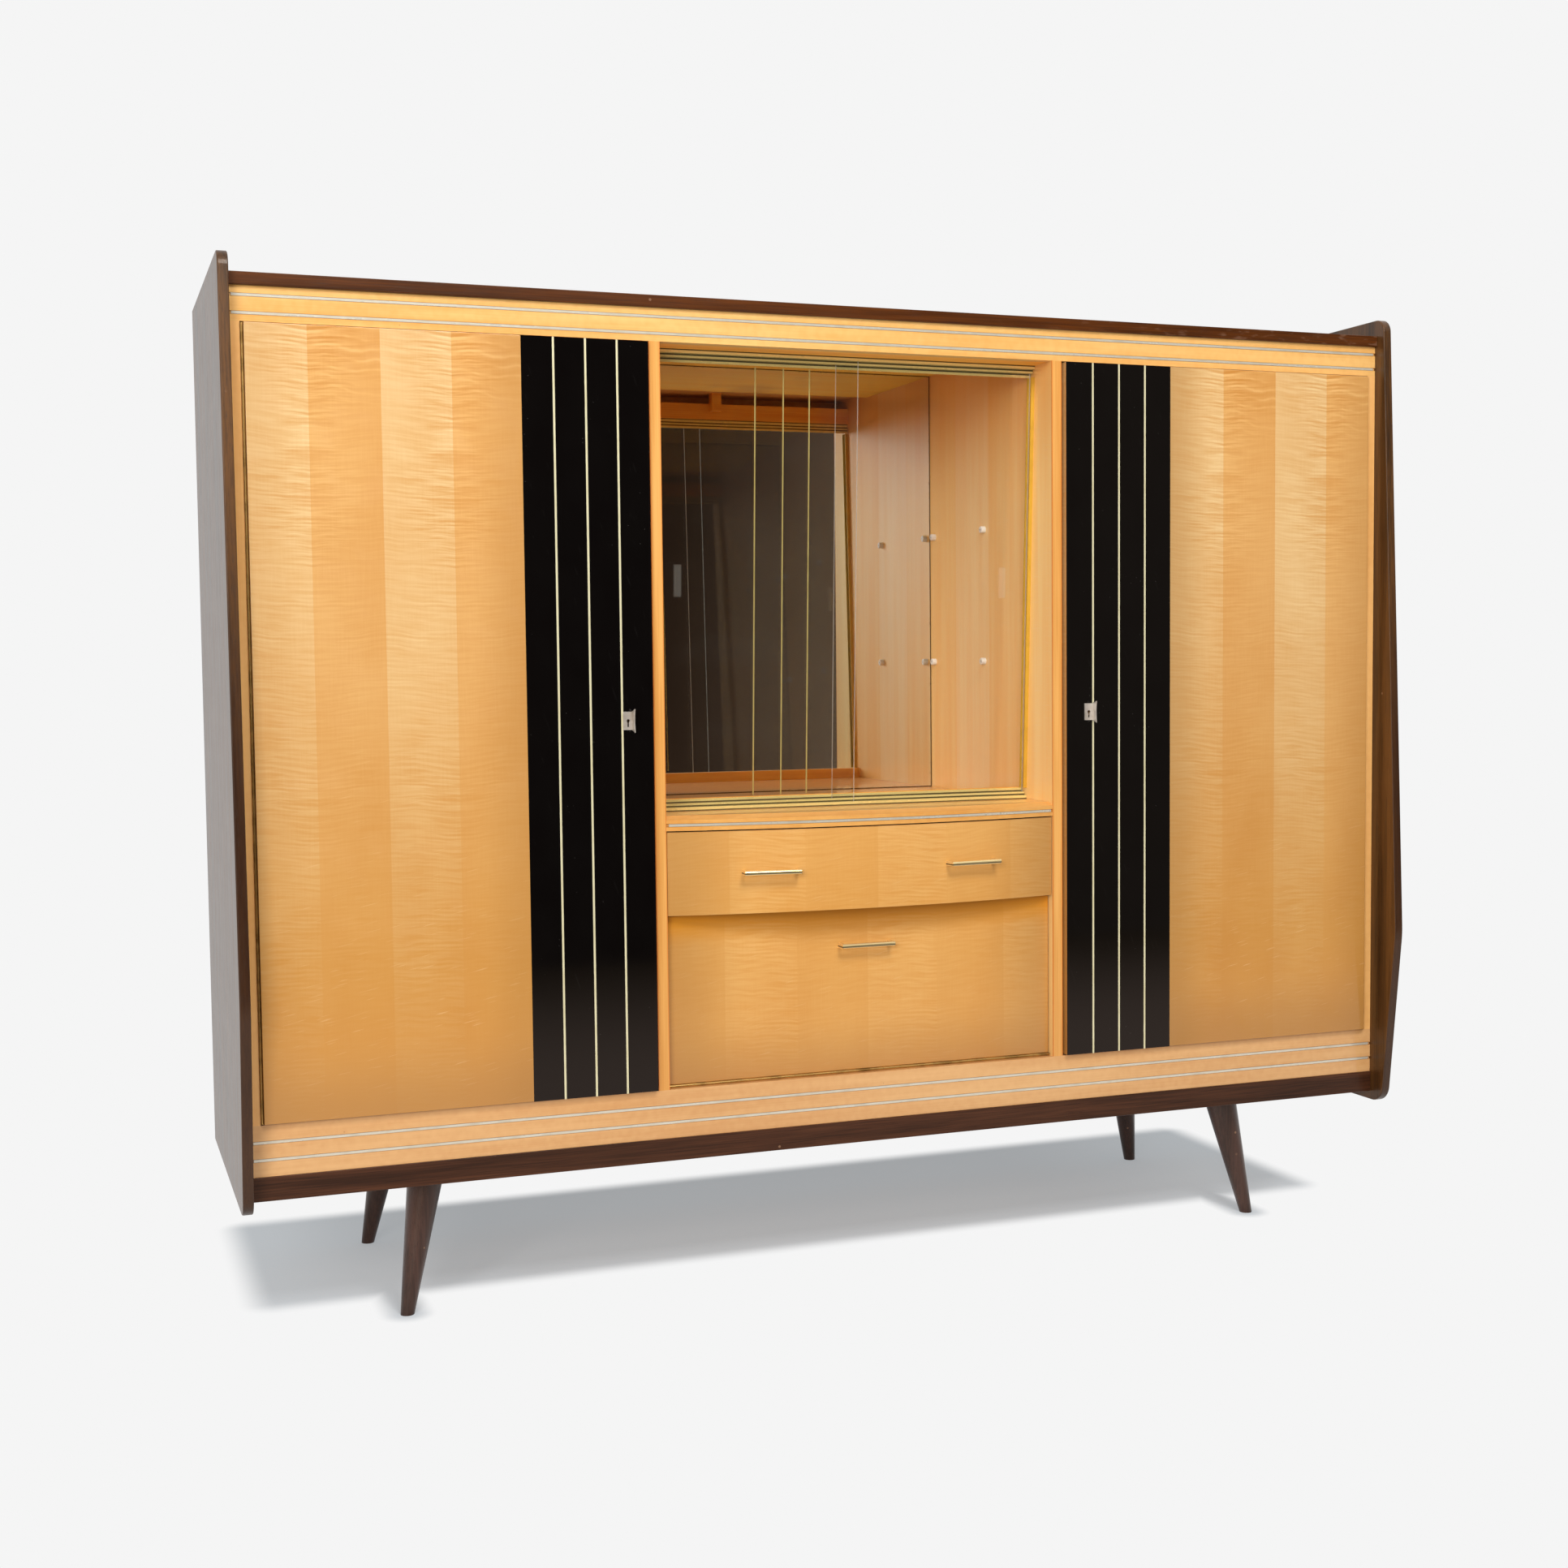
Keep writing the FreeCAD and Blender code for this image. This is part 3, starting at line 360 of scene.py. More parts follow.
def figured_veneer(name, first_border, leaf_width, top, bottom, foot, inside_from, light_leaf, dark_leaf,
                   curls, depth, ends, end_reach, end_painted_shade, painted_shadow_top=None):
    """Rippled maple in book-matched leaves of two tones in turn, with curls near the top, lacquered.

    It has painted shade towards its two ends, and can have a painted shadow below a height, under what
    hangs over it.
    """
    made, paint = new_finish(name)
    x, y, z = paint.place()
    along = x - first_border
    across = along.math("PINGPONG", leaf_width)
    leaf = (along / leaf_width).math("FLOOR")
    second = leaf.math("FLOORED_MODULO", 2.0)
    rise = ((z - bottom) / (top - bottom)).clamped()
    figure, ripple = leaf_figure(paint, across, leaf_width, second, z, top, rise, curls)
    vary = paint.noise(leaf * 7.3, 4.0, 0.0, detail=0.0) - 0.5
    fine = grain(paint, "Z", 900, 0.012) - 0.5
    weave = paint.noise(x * 330, 5.0, z * 25, detail=1.0) - 0.5
    cloud = paint.noise(x * 7, 2.0, z * 4, detail=2.0) - 0.5
    tilt = (along / leaf_width).math("FRACT") - 0.5
    soft = vary * 0.3 + fine * 0.14 + weave * 0.12 + cloud * 0.55 - tilt * 0.06
    # The rise term is painted light: each front is paler towards its top.
    shade = (figure * depth + soft + rise * 0.25 + 0.27).clamped()
    front = (second * (rise * 0.6 + 0.4)).blend(shade.blend(*light_leaf), shade.blend(*dark_leaf))
    front = scuffs_and_low_shade(paint, front, rise, cloud, foot)
    # Painted shade at the two ends of the front.
    at_left = 1 - (x - ends[0]).eased(0.0, end_reach)
    at_right = 1 - (ends[1] - x).eased(0.0, end_reach)
    front = (at_left * end_painted_shade[0] + at_right * end_painted_shade[1]).blend(front, tone(164, 116, 58))
    if painted_shadow_top is not None:
        # Painted shadow under the drawer, fading downwards from the flap's top.
        front = ((1 - (painted_shadow_top - z).eased(0.0, PAINTED_SHADOW_REACH)) * 0.9).blend(front, tone(206, 130, 2))
    inner = (grain(paint, "Z", 260, 0.03) * 0.7 + fine * 0.3).eased(0.2, 0.6)
    behind = inner.blend(tone(196, 142, 86), tone(222, 176, 118))
    colour = (y > inside_from).blend(front, behind)
    smears = paint.noise(x * 22 + z * 9, 3.0, z * 20, detail=3.0).eased(0.45, 0.75)
    sockets = {"Base Color": colour, "Roughness": smears * 0.14 + 0.30,
               "Coat Weight": smears * -0.25 + 0.75, "Coat Roughness": 0.04, "Specular IOR Level": 0.3}
    return lay_on(made, paint, sockets, fine + ripple * 0.5, depth=0.00002)


def strip_edges(name):
    """Heights of the edges of the metal strips that lie in a rail or the sill."""
    low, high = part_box(name)
    heights = {round(vert.co.z, 4) for vert in frame["nodes"]["rail_inlays"].data.vertices}
    return sorted(height for height in heights if low.z < height < high.z)


def plain_veneer(name, along, dark, light, edges=()):
    """Straight-grained maple with a faint mottle, lacquered, with painted shade along the edges of its
    strips.
    """
    made, paint = new_finish(name)
    x, y, z = paint.place()
    broad = grain(paint, along, 40, 0.05)
    fine = grain(paint, along, 520, 0.012)
    mottle = grain(paint, along, 90, 1.0, detail=1.0)
    shade = (broad * 0.6 + fine * 0.2 + mottle * 0.2).eased(0.24, 0.76)
    colour = shade.blend(dark, light)
    nicks = paint.specks(x * 24, y * 24, z * 24, 0.03)
    colour = (nicks * 0.3).blend(colour, tone(150, 96, 52))
    for edge in edges:
        # Painted shade in the groove along each edge of a strip, not a stain.
        stained = 1 - (z - edge).math("ABSOLUTE").eased(*STRIP_SHADE)
        colour = (stained * 0.6).blend(colour, tone(126, 66, 24))
    sockets = {"Base Color": colour, "Roughness": broad * 0.12 + 0.28, "Coat Weight": fine * 0.2 + 0.5,
               "Coat Roughness": 0.06, "Specular IOR Level": 0.3}
    return lay_on(made, paint, sockets, fine, depth=0.00003)


def partition_veneer(name):
    """Upright maple: stained arrises on the front edge, three broad leaves on each wall, and painted shade
    high on each wall.
    """
    made, paint = new_finish(name)
    x, y, z = paint.place()
    broad = grain(paint, "Z", 55, 0.04)
    fine = grain(paint, "Z", 620, 0.012)
    shade = (broad * 0.6 + fine * 0.4).eased(0.32, 0.68)
    edge = shade.blend(tone(217, 148, 70), tone(238, 176, 96))
    width = x.math("ABSOLUTE")
    rim = 1 - (width - CENTRE_HALF).math("MINIMUM", PARTITION_OUT - width).eased(*ARRIS_STAIN)
    edge = (rim * 0.7).blend(edge, tone(216, 118, 40))
    calm = shade * 0.5 + 0.5
    outer_leaf = calm.blend(tone(252, 184, 98), tone(255, 214, 140))
    middle_leaf = calm.blend(tone(254, 196, 118), tone(255, 223, 162))
    in_middle = (y > WALL_BORDERS[0]) * (y < WALL_BORDERS[1])
    wall = in_middle.blend(outer_leaf, middle_leaf)
    scratch = paint.noise(y * 30, 2.0, z * 900, detail=1.0).eased(0.62, 0.72) * 0.25
    wall = scratch.blend(wall, tone(250, 222, 180))
    # Painted shade: deeper and darker high on each wall, under the header.
    wall = ((z - SILL_TOP).eased(*HIGH_WALL_SHADE) * 0.5).blend(wall, tone(222, 134, 30))
    colour = (y - FACE).eased(*WALL_START).blend(edge, wall)
    sockets = {"Base Color": colour, "Roughness": broad * 0.15 + 0.25, "Coat Weight": fine * 0.3 + 0.3,
               "Coat Roughness": 0.08, "Specular IOR Level": 0.3}
    return lay_on(made, paint, sockets, fine, depth=0.00003)


def dark_wood(name, along, deep, pale, lacquer, inside=None, worn=None, gleam=0.35, painted_edge_shade=None):
    """Dark stained wood with open pores; masks make a pale inner face, a rubbed edge and a painted shade on
    an edge.
    """
    made, paint = new_finish(name)
    x, y, z = paint.place()
    broad = grain(paint, along, 38, 0.05)
    fine = grain(paint, along, 420, 0.02)
    pores = grain(paint, along, 1500, 0.012, detail=1.0).eased(0.58, 0.70)
    shade = (broad * 0.6 + fine * 0.4).eased(0.30, 0.70)
    colour = shade.blend(deep, pale)
    colour = (pores * 0.55).blend(colour, tone(28, 14, 11))
    chips = paint.specks(x * 30, y * 30, z * 30, 0.06) * paint.noise(x * 9, y * 9, z * 9).eased(0.52, 0.6)
    colour = (chips * 0.7).blend(colour, tone(150, 112, 84))
    rough = broad * 0.18 + pores * 0.1 + 0.26
    coat = (broad * 1.6 + 0.2) * lacquer - pores * lacquer * 0.6
    if worn is not None:
        rubbed = worn(x, y, z) * paint.noise(x * 45, y * 160, z * 160, detail=5.0).eased(0.54, 0.70)
        colour = (rubbed * 0.35).blend(colour, tone(140, 104, 80))
        rough = rough + rubbed * 0.25
        coat = coat - rubbed * lacquer * 0.4
    if painted_edge_shade is not None:
        # Painted shade on the lower part of the front edge.
        colour = (painted_edge_shade(paint, z) * 0.75).blend(colour, tone(42, 14, 0))
    if inside is not None:
        maple = shade.blend(tone(206, 150, 90), tone(234, 186, 124))
        colour = inside(x, y, z).blend(colour, maple)
    sockets = {"Base Color": colour, "Roughness": rough, "Coat Weight": coat, "Coat Roughness": 0.12,
               "Specular IOR Level": gleam, "Specular Tint": (1.0, 0.87, 0.74, 1.0)}
    return lay_on(made, paint, sockets, fine - pores * 0.6, depth=0.00006)


def inner_wood(name, along, dark, light):
    """Plain wood of the inside, only rubbed with shellac."""
    made, paint = new_finish(name)
    x, y, z = paint.place()
    broad = grain(paint, along, 50, 0.04)
    fine = grain(paint, along, 560, 0.015)
    shade = (broad * 0.6 + fine * 0.4).eased(0.28, 0.70)
    colour = shade.blend(dark, light)
    stains = paint.noise(x * 6, y * 6, z * 6, detail=3.0).eased(0.55, 0.75) * 0.3
    colour = stains.blend(colour, tone(140, 92, 54))
    sockets = {"Base Color": colour, "Roughness": fine * 0.2 + 0.42, "Coat Weight": 0.12,
               "Coat Roughness": 0.25}
    return lay_on(made, paint, sockets, fine, depth=0.00006)


def back_board(name):
    """Brown hardboard with pressed fibres and stains."""
    made, paint = new_finish(name)
    x, y, z = paint.place()
    fibres = paint.noise(x * 340, y * 340, z * 340, detail=5.0, roughness=0.7)
    clouds = paint.noise(x * 5, y * 5, z * 5, detail=4.0)
    shade = (fibres * 0.7 + clouds * 0.3).eased(0.30, 0.70)
    colour = shade.blend(tone(132, 94, 60), tone(172, 130, 90))
    drips = paint.noise(x * 40, 1.0, z * 2, detail=2.0).eased(0.60, 0.72) * 0.25
    colour = drips.blend(colour, tone(104, 72, 48))
    seam = 1 - (x.math("ABSOLUTE") - BACK_SEAM).math("ABSOLUTE").eased(*BACK_SEAM_EDGE)
    colour = (seam * 0.8).blend(colour, tone(40, 26, 18))
    sockets = {"Base Color": colour, "Roughness": fibres * 0.25 + 0.6}
    return lay_on(made, paint, sockets, fibres, depth=0.0002)


def black_lacquer(name):
    """Black high-gloss sheet with faint wiping marks and dust."""
    made, paint = new_finish(name)
    x, y, z = paint.place()
    wiped = paint.noise(x * 14 + z * 6, 0.0, z * 11 - x * 5, detail=4.0)
    dust = paint.specks(x * 90, y * 90, z * 90, 0.05) * wiped.eased(0.5, 0.62)
    scratches = paint.noise(x * 420 + z * 150, 3.0, z * 24, detail=1.0).eased(0.70, 0.76)
    colour = wiped.blend(tone(7, 5, 5), tone(13, 11, 10))
    colour = (dust * 0.25 + scratches * 0.02).blend(colour, tone(120, 116, 110))
    sockets = {"Base Color": colour, "Roughness": wiped * 0.08 + scratches * 0.1 + 0.02,
               "Specular IOR Level": 0.31}
    return lay_on(made, paint, sockets)


def metal(name, dull, bright, polish, shine, along, age=1.0, painted_dark=None):
    """Drawn metal with tarnish, fine draw lines and spots; polish is roughness, and a last mask paints
    dark: shade in grooves, a reflection on a handle.
    """
    made, paint = new_finish(name)
    x, y, z = paint.place()
    drawn = grain(paint, along, 1100, 0.006, detail=2.0)
    tarnish = paint.noise(x * 35, y * 35, z * 35, detail=4.0).eased(0.40, 0.70) * age
    spots = paint.specks(x * 70, y * 70, z * 70, 0.10) * tarnish * age
    colour = (tarnish * 0.8 + drawn * 0.2).clamped().blend(bright, dull)
    colour = (spots * 0.4).blend(colour, tone(74, 58, 36))
    rough = tarnish * 0.14 + drawn * 0.08 + polish
    if painted_dark is not None:
        # Painted dark where the mask is: shade in a track's grooves, a reflection on a handle's lower half.
        painted_dark_mask = painted_dark(z)
        colour = (painted_dark_mask * 0.9).blend(colour, tone(34, 22, 8))
        rough = rough + painted_dark_mask * 0.2
    sockets = {"Base Color": colour, "Metallic": shine - spots * 0.4, "Roughness": rough}
    return lay_on(made, paint, sockets, drawn, depth=0.000008)


def show_shader(made, paint, shader):
    """Takes a shader as the whole surface of a material."""
    nodes = made.node_tree.nodes
    nodes.remove(nodes["Principled BSDF"])
    paint.feed(nodes["Material Output"].inputs["Surface"], shader)
    return made


def clear_glass(name, pull_x):
    """Clear glass, paler on its cut edges, with a ground finger pull at pull_x."""
    made, paint = new_finish(name)
    x, y, z = paint.place()
    wiped = paint.noise(x * 9, y * 9, z * 14, detail=4.0)
    slant = paint.add("LayerWeight", None, {"Blend": 0.5}, output="Facing")
    gleam = slant.math("POWER", 5.0) * (1 - PANE_GLEAM) + PANE_GLEAM
    through = paint.add("BsdfTransparent", None, {"Color": (0.995, 0.998, 0.995, 1.0)})
    shine = paint.add("BsdfGlossy", None, {"Color": WHITE, "Roughness": 0.015})
    pane = paint.add("MixShader", None, {0: gleam, 1: through, 2: shine})
    milk = paint.add("BsdfDiffuse", None, {"Color": tone(226, 224, 214), "Roughness": 0.3})
    pull_wide = 1 - (x - pull_x).math("ABSOLUTE").eased(*PULL_WIDE)
    pull_tall = 1 - (z - PULL_HEIGHT).math("ABSOLUTE").eased(*PULL_TALL)
    aside, up = paint.normal()[::2]
    edge = (aside.math("ABSOLUTE") + up.math("ABSOLUTE")).eased(0.6, 0.9)
    haze = wiped.eased(0.5, 0.8) * 0.003
    cover = (pull_wide * pull_tall * 0.05 + edge * 0.4 + haze).clamped()
    return show_shader(made, paint, paint.add("MixShader", None, {0: cover, 1: pane, 2: milk}))


def silvered_mirror(name):
    """Silvered glass: clear in the middle, with dim spots along its edges."""
    made, paint = new_finish(name)
    x, z = paint.place()[::2]
    low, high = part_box("mirror")
    side = (x - low.x).math("MINIMUM", high.x - x).math("MINIMUM", z - low.z).math("MINIMUM", high.z - z)
    by_edge = 1 - side.eased(*MIRROR_SPOTS)
    spots = paint.noise(x * 120, 0.0, z * 120, detail=3.0).eased(0.52, 0.66) * by_edge
    dust = paint.noise(x * 18, 0.0, z * 18, detail=4.0)
    colour = (spots * 0.4).blend(tone(226, 226, 222), tone(150, 136, 112))
    colour = (1 - side.eased(*MIRROR_RIM)).blend(colour, tone(96, 86, 74))
    sockets = {"Base Color": colour, "Metallic": 1.0, "Roughness": dust * 0.02 + spots * 0.3 + 0.002}
    return lay_on(made, paint, sockets)


def white_plastic(name):
    """Cream plastic studs, with painted shade in the dimple of each head."""
    made, paint = new_finish(name)
    x, y, z = paint.place()
    mottle = paint.noise(x * 400, y * 400, z * 400, detail=3.0)
    aside = [(y - place).math("ABSOLUTE") for place in STUD_DEPTHS]
    above = [(z - place).math("ABSOLUTE") for place in STUD_HEIGHTS]
    off = aside[0].math("MINIMUM", aside[1])
    rise = above[0].math("MINIMUM", above[1])
    dimple = 1 - off.span(rise).eased(*STUD_DIMPLE)
    colour = mottle.blend(tone(214, 206, 192), tone(240, 236, 226))
    # Painted shade in the dimple of each head.
    colour = (dimple * 0.75).blend(colour, tone(60, 52, 44))
    sockets = {"Base Color": colour, "Roughness": mottle * 0.2 + 0.3}
    return lay_on(made, paint, sockets, mottle, depth=0.00005)


def inside_gable(x, y, z):
    """The gable's inner face, inside the cabinet."""
    inward = (x.math("ABSOLUTE") < INNER_HALF + SKIN) * (y > BEHIND_FACE)
    return inward * (z > APRON_TOP) * (z < BOARD_BOTTOM)


def low_front_edge(paint, z):
    """The lower part of a gable's front edge, which takes a painted shade."""
    return (paint.normal()[1] < -0.5) * (1 - z.eased(*GABLE_EDGE_SHADE))


def under_board(x, y, z):
    """The underside of the top board, inside the cabinet."""
    return (z < BOARD_BOTTOM + SKIN) * (y > BEHIND_FACE)


def board_nose(x, y, z):
    """The front edge of the top board, towards its right end."""
    return (1 - (y - BOARD_FRONT).eased(*NOSE_DEPTH)) * x.eased(*NOSE_WORN)


def track_lip_shade(z):
    """Painted shade at the foot of each lip of the two tracks."""
    below = (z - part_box("track_bottom")[0].z).math("ABSOLUTE")
    depth = below.math("MINIMUM", (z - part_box("track_top")[1].z).math("ABSOLUTE"))
    lines = [1 - (depth - lip).math("ABSOLUTE").eased(*TRACK_LIP_SHADE_EDGE) for lip in TRACK_LIP_SHADE]
    return sum(lines).clamped()


def under_half(name):
    """A mask for the painted reflection: a dark band along the lower half of a bar handle."""
    low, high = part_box(name)
    band = low.z + (high.z - low.z) * HANDLE_BAND
    return lambda z: 1 - (z - band).math("ABSOLUTE").eased(*HANDLE_BAND_EDGE)


def dress(made, *names):
    """Gives one finish to some of the cabinet's nodes."""
    for name in names:
        mesh = frame["nodes"][name].data
        mesh.materials.clear()
        mesh.materials.append(made)


def dress_fronts():
    """Doors with their black panels, the drawer's front and the flap."""
    door = {"leaf_width": DOOR_LEAF, "top": DOOR_TOP, "bottom": DOOR_BOTTOM, "foot": DOOR_BOTTOM,
            "inside_from": DOOR_BACK - SKIN, "curls": 1.0, "depth": 0.95, "end_reach": DOOR_END_REACH,
            "light_leaf": (tone(211, 150, 78), tone(240, 208, 152)),
            "dark_leaf": (tone(202, 134, 57), tone(235, 182, 112))}
    left_ends = (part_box("door_left")[0].x, -BLACK_EDGE)
    right_ends = (BLACK_EDGE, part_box("door_right")[1].x)
    # Each door's pair of numbers is the painted shade at its two ends.
    for side, border, ends, dull in (("left", LEFT_DOOR_BORDER, left_ends, (0.18, 0.30)),
                                     ("right", BLACK_EDGE - 2 * DOOR_LEAF, right_ends, (0.50, 0.22))):
        veneer = figured_veneer(side + "_door_veneer", border, ends=ends, end_painted_shade=dull, **door)
        dress(veneer, "door_" + side)
    flap_low, flap_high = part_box("flap")
    # The drawer and the flap have painted shade at both ends, and the flap has a painted shadow under the
    # drawer.
    for name, foot, painted_shadow_top in (("drawer_front", DOOR_BOTTOM, None),
                              ("flap", flap_low.z - FLAP_FOOT_DROP, flap_high.z)):
        low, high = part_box(name)
        front = {"leaf_width": CENTRE_LEAF, "top": DOOR_TOP, "bottom": low.z - CENTRE_FADE, "foot": foot,
                 "inside_from": high.y - SKIN, "curls": 0.0, "depth": 1.3, "painted_shadow_top": painted_shadow_top,
                 "ends": (low.x, high.x), "end_reach": CENTRE_END_REACH, "end_painted_shade": (0.5, 0.5),
                 "light_leaf": (tone(224, 156, 76), tone(252, 206, 136)),
                 "dark_leaf": (tone(216, 147, 66), tone(246, 194, 120))}
        dress(figured_veneer(name + "_veneer", CENTRE_BORDER, **front), name)
    dress(black_lacquer("black_gloss"), "door_left_black_panel", "door_right_black_panel")


def dress_frame():
    """Rails and sill with their strips, stiles and partitions."""
    for name, dark, light, node in (
            ("rail_veneer", tone(228, 164, 84), tone(248, 198, 122), "top_rail"),
            ("low_rail_veneer", tone(212, 152, 92), tone(232, 180, 120), "bottom_rail"),
            ("sill_veneer", tone(220, 150, 70), tone(240, 180, 100), "display_floor")):
        dress(plain_veneer(name, "X", dark, light, edges=strip_edges(node)), node)
    dress(plain_veneer("stile_veneer", "Z", tone(232, 166, 92), tone(250, 192, 118)), "hinge_stiles")
    dress(partition_veneer("partition_veneer"), "partition_left", "partition_right")


def dress_dark_wood():
    """Gables, top board, apron and legs."""
    gable = dark_wood("gable_wood", "Z", tone(48, 27, 9), tone(104, 65, 27), 0.16, inside=inside_gable,
                      gleam=0.45, painted_edge_shade=low_front_edge)
    dress(gable, "gable_left", "gable_right")
    board = dark_wood("top_board_wood", "X", tone(50, 20, 2), tone(96, 48, 10), 0.04, inside=under_board,
                      worn=board_nose, gleam=0.25)
    dress(board, "top_board")
    dress(dark_wood("apron_wood", "X", tone(48, 24, 12), tone(88, 50, 30), 0.06, gleam=0.25), "base_apron")
    dress(dark_wood("leg_wood", "Z", tone(38, 20, 14), tone(74, 45, 35), 0.3),
          "leg_front_left", "leg_front_right", "leg_back_left", "leg_back_right")


def dress_inside():
    """Shelves, drawer box, battens, base frame and back panels."""
    for name, along, dark, light, nodes in (
            ("shelf_wood", "X", tone(204, 148, 92), tone(230, 182, 126),
             ("floor_panel", "drawer_shelf", "side_shelves")),
            ("ceiling_wood", "X", tone(255, 196, 46), tone(255, 214, 76), ("display_ceiling",)),
            ("drawer_wood", "Y", tone(206, 158, 102), tone(232, 192, 138),
             ("drawer_box", "drawer_runners")),
            ("batten_wood", "X", tone(234, 152, 44), tone(252, 186, 70),
             ("display_header", "display_curb")),
            ("frame_wood", "X", tone(150, 104, 66), tone(186, 138, 92), ("base_frame",))):
        dress(inner_wood(name, along, dark, light), *nodes)
    dress(back_board("back_hardboard"), "back_panels")


def dress_trim():
    """Metal lines, strips, handles, tracks and channels that show from the front."""
    dress(metal("door_line_metal", tone(192, 174, 118), tone(238, 230, 190), 0.30, 0.25, "Z", 0.3),
          "door_left_lines", "door_right_lines")
    dress(metal("inlay_metal", tone(172, 154, 120), tone(228, 222, 204), 0.24, 0.4, "X", 0.3),
          "rail_inlays")
    for name in ("drawer_handles", "flap_handle"):
        # The dark band on each handle's lower half is a painted reflection.
        dress(metal(name + "_brass", tone(206, 160, 84), tone(254, 232, 172), 0.14, 0.65, "X", 0.15,
                    under_half(name)), name)
    dress(metal("track_brass", tone(196, 158, 76), tone(255, 234, 152), 0.22, 0.35, "X", 0.12, track_lip_shade),
          "track_top", "track_bottom")
    dress(metal("channel_brass", tone(166, 122, 26), tone(222, 178, 62), 0.30, 0.25, "Z", 0.3),
          "glass_channels")
    dress(metal("pane_line_gold", tone(150, 126, 62), tone(212, 192, 118), 0.25, 0.5, "Z", 0.4),
          "pane_lines")


def dress_fittings():
    """Hinges, stays, key plates, locks, bolts and pegs."""
    dress(metal("hinge_brass", tone(128, 96, 48), tone(212, 174, 104), 0.28, 0.9, "Z"),
          "hinge_frame_leaves", "hinge_pins", "hinge_left_door_leaf", "hinge_right_door_leaf",
          "flap_hinge_leaf")
    dress(metal("stay_brass", tone(140, 110, 62), tone(214, 182, 116), 0.26, 0.9, "Y"),
          "flap_stays", "stay_guides")
    dress(metal("plate_nickel", tone(150, 132, 110), tone(226, 218, 208), 0.28, 0.6, "Z", 0.7),
          "escutcheon_left", "escutcheon_right")
    dress(metal("lock_steel", tone(96, 90, 82), tone(168, 164, 156), 0.34, 0.9, "X"),
          "lock_left", "lock_right", "lock_bolt_left", "lock_bolt_right", "leg_bolts", "shelf_pegs")


def dress_display():
    """Panes, mirror and shelf studs."""
    dress(clear_glass("left_pane_glass", -PULL_FROM_CENTRE), "glass_pane_left")
    dress(clear_glass("right_pane_glass", PULL_FROM_CENTRE), "glass_pane_right")
    dress(silvered_mirror("mirror_silver"), "mirror")
    dress(white_plastic("stud_plastic"), "shelf_studs")


def half_round(radius, gap, sign):
    """Half of a slotted head, seen from above: an arc closed by its side of the slot."""
    start = math.asin(gap / radius)
    turns = [start + (math.pi - 2 * start) * i / ARC_STEPS for i in range(ARC_STEPS + 1)]
    return [Vector((radius * math.cos(turn), sign * radius * math.sin(turn), 0)) for turn in turns]


def raise_outline(mesh, outline, place, low, high, shrink):
    """A low block over an outline, its top drawn in a little."""
    bottom = [mesh.verts.new(place @ (point + Vector((0, 0, low)))) for point in outline]
    top = [mesh.verts.new(place @ (point * shrink + Vector((0, 0, high)))) for point in outline]
    mesh.faces.new(top)
    for i in range(len(outline)):
        j = (i + 1) % len(outline)
        mesh.faces.new((bottom[i], bottom[j], top[j], top[i]))


def fasteners(name, body, made, spots, facing, head, slotted=True):
    """Screw or nail heads on a face: a thin seat under two half heads with a slot, or under a whole one."""
    radius, height = head
    mesh = bmesh.new()
    turn = Vector((0, 0, 1)).rotation_difference(Vector(facing)).to_matrix().to_4x4()
    ring = half_round(radius, 0.0, 1) + half_round(radius, 0.0, -1)[::-1][1:-1]
    for number, spot in enumerate(spots):
        place = Matrix.Translation(spot) @ turn @ Matrix.Rotation(number * HEAD_SPIN, 4, "Z")
        if slotted:
            raise_outline(mesh, ring, place, 0.0, height * SEAT_SHARE, 1.0)
            for sign in (1, -1):
                half = half_round(radius, radius * SLOT_SHARE, sign)
                raise_outline(mesh, half, place, height * SLOT_FLOOR, height, SCREW_TAPER)
        else:
            raise_outline(mesh, ring, place, 0.0, height * NAIL_RIM, 1.0)
            crown = [point * NAIL_STEP for point in ring]
            raise_outline(mesh, crown, place, height * NAIL_RIM, height, NAIL_TAPER)
    bmesh.ops.recalc_face_normals(mesh, faces=mesh.faces)
    data = bpy.data.meshes.new(name)
    mesh.to_mesh(data)
    mesh.free()
    data.materials.append(made)
    piece = bpy.data.objects.new(name, data)
    bpy.context.scene.collection.objects.link(piece)
    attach(piece, body)


def between(low, high, count):
    """Even places from low to high."""
    return [low + (high - low) * i / (count - 1) for i in range(count)]


def fasten_hinges(made):
    """Screws along both leaves of each door's hinge."""
    pins = {joint["name"]: Vector(joint["pos_m"]) for joint in frame["joints"] if joint["type"] == "hinge"}
    heights = between(DOOR_BOTTOM + HINGE_SCREW_END, DOOR_TOP - HINGE_SCREW_END, HINGE_SCREWS)
    for side, sign in (("left", -1), ("right", 1)):
        pin = pins[side + "_door_hinge"]
        y = pin.y + HINGE_SCREW_BACK
        for leaf, body, way in (("door", side + "_door", sign), ("frame", "cabinet", -sign)):
            spots = [Vector((pin.x - way * HINGE_LEAF_FACE, y, z)) for z in heights]
            fasteners("hinge_screws_" + side + "_" + leaf, body, made, spots, (way, 0, 0), HINGE_SCREW)


def fasten_locks(made):
    """Four screws in each lock case."""
    for side in ("left", "right"):
        low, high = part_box("lock_" + side)
        spots = [Vector((x, high.y, z)) for x in (low.x + CASE_SCREW_INSET, high.x - CASE_SCREW_INSET)
                 for z in (low.z + CASE_SCREW_INSET, high.z - CASE_SCREW_INSET)]
        fasteners("lock_screws_" + side, side + "_door", made, spots, (0, 1, 0), CASE_SCREW)


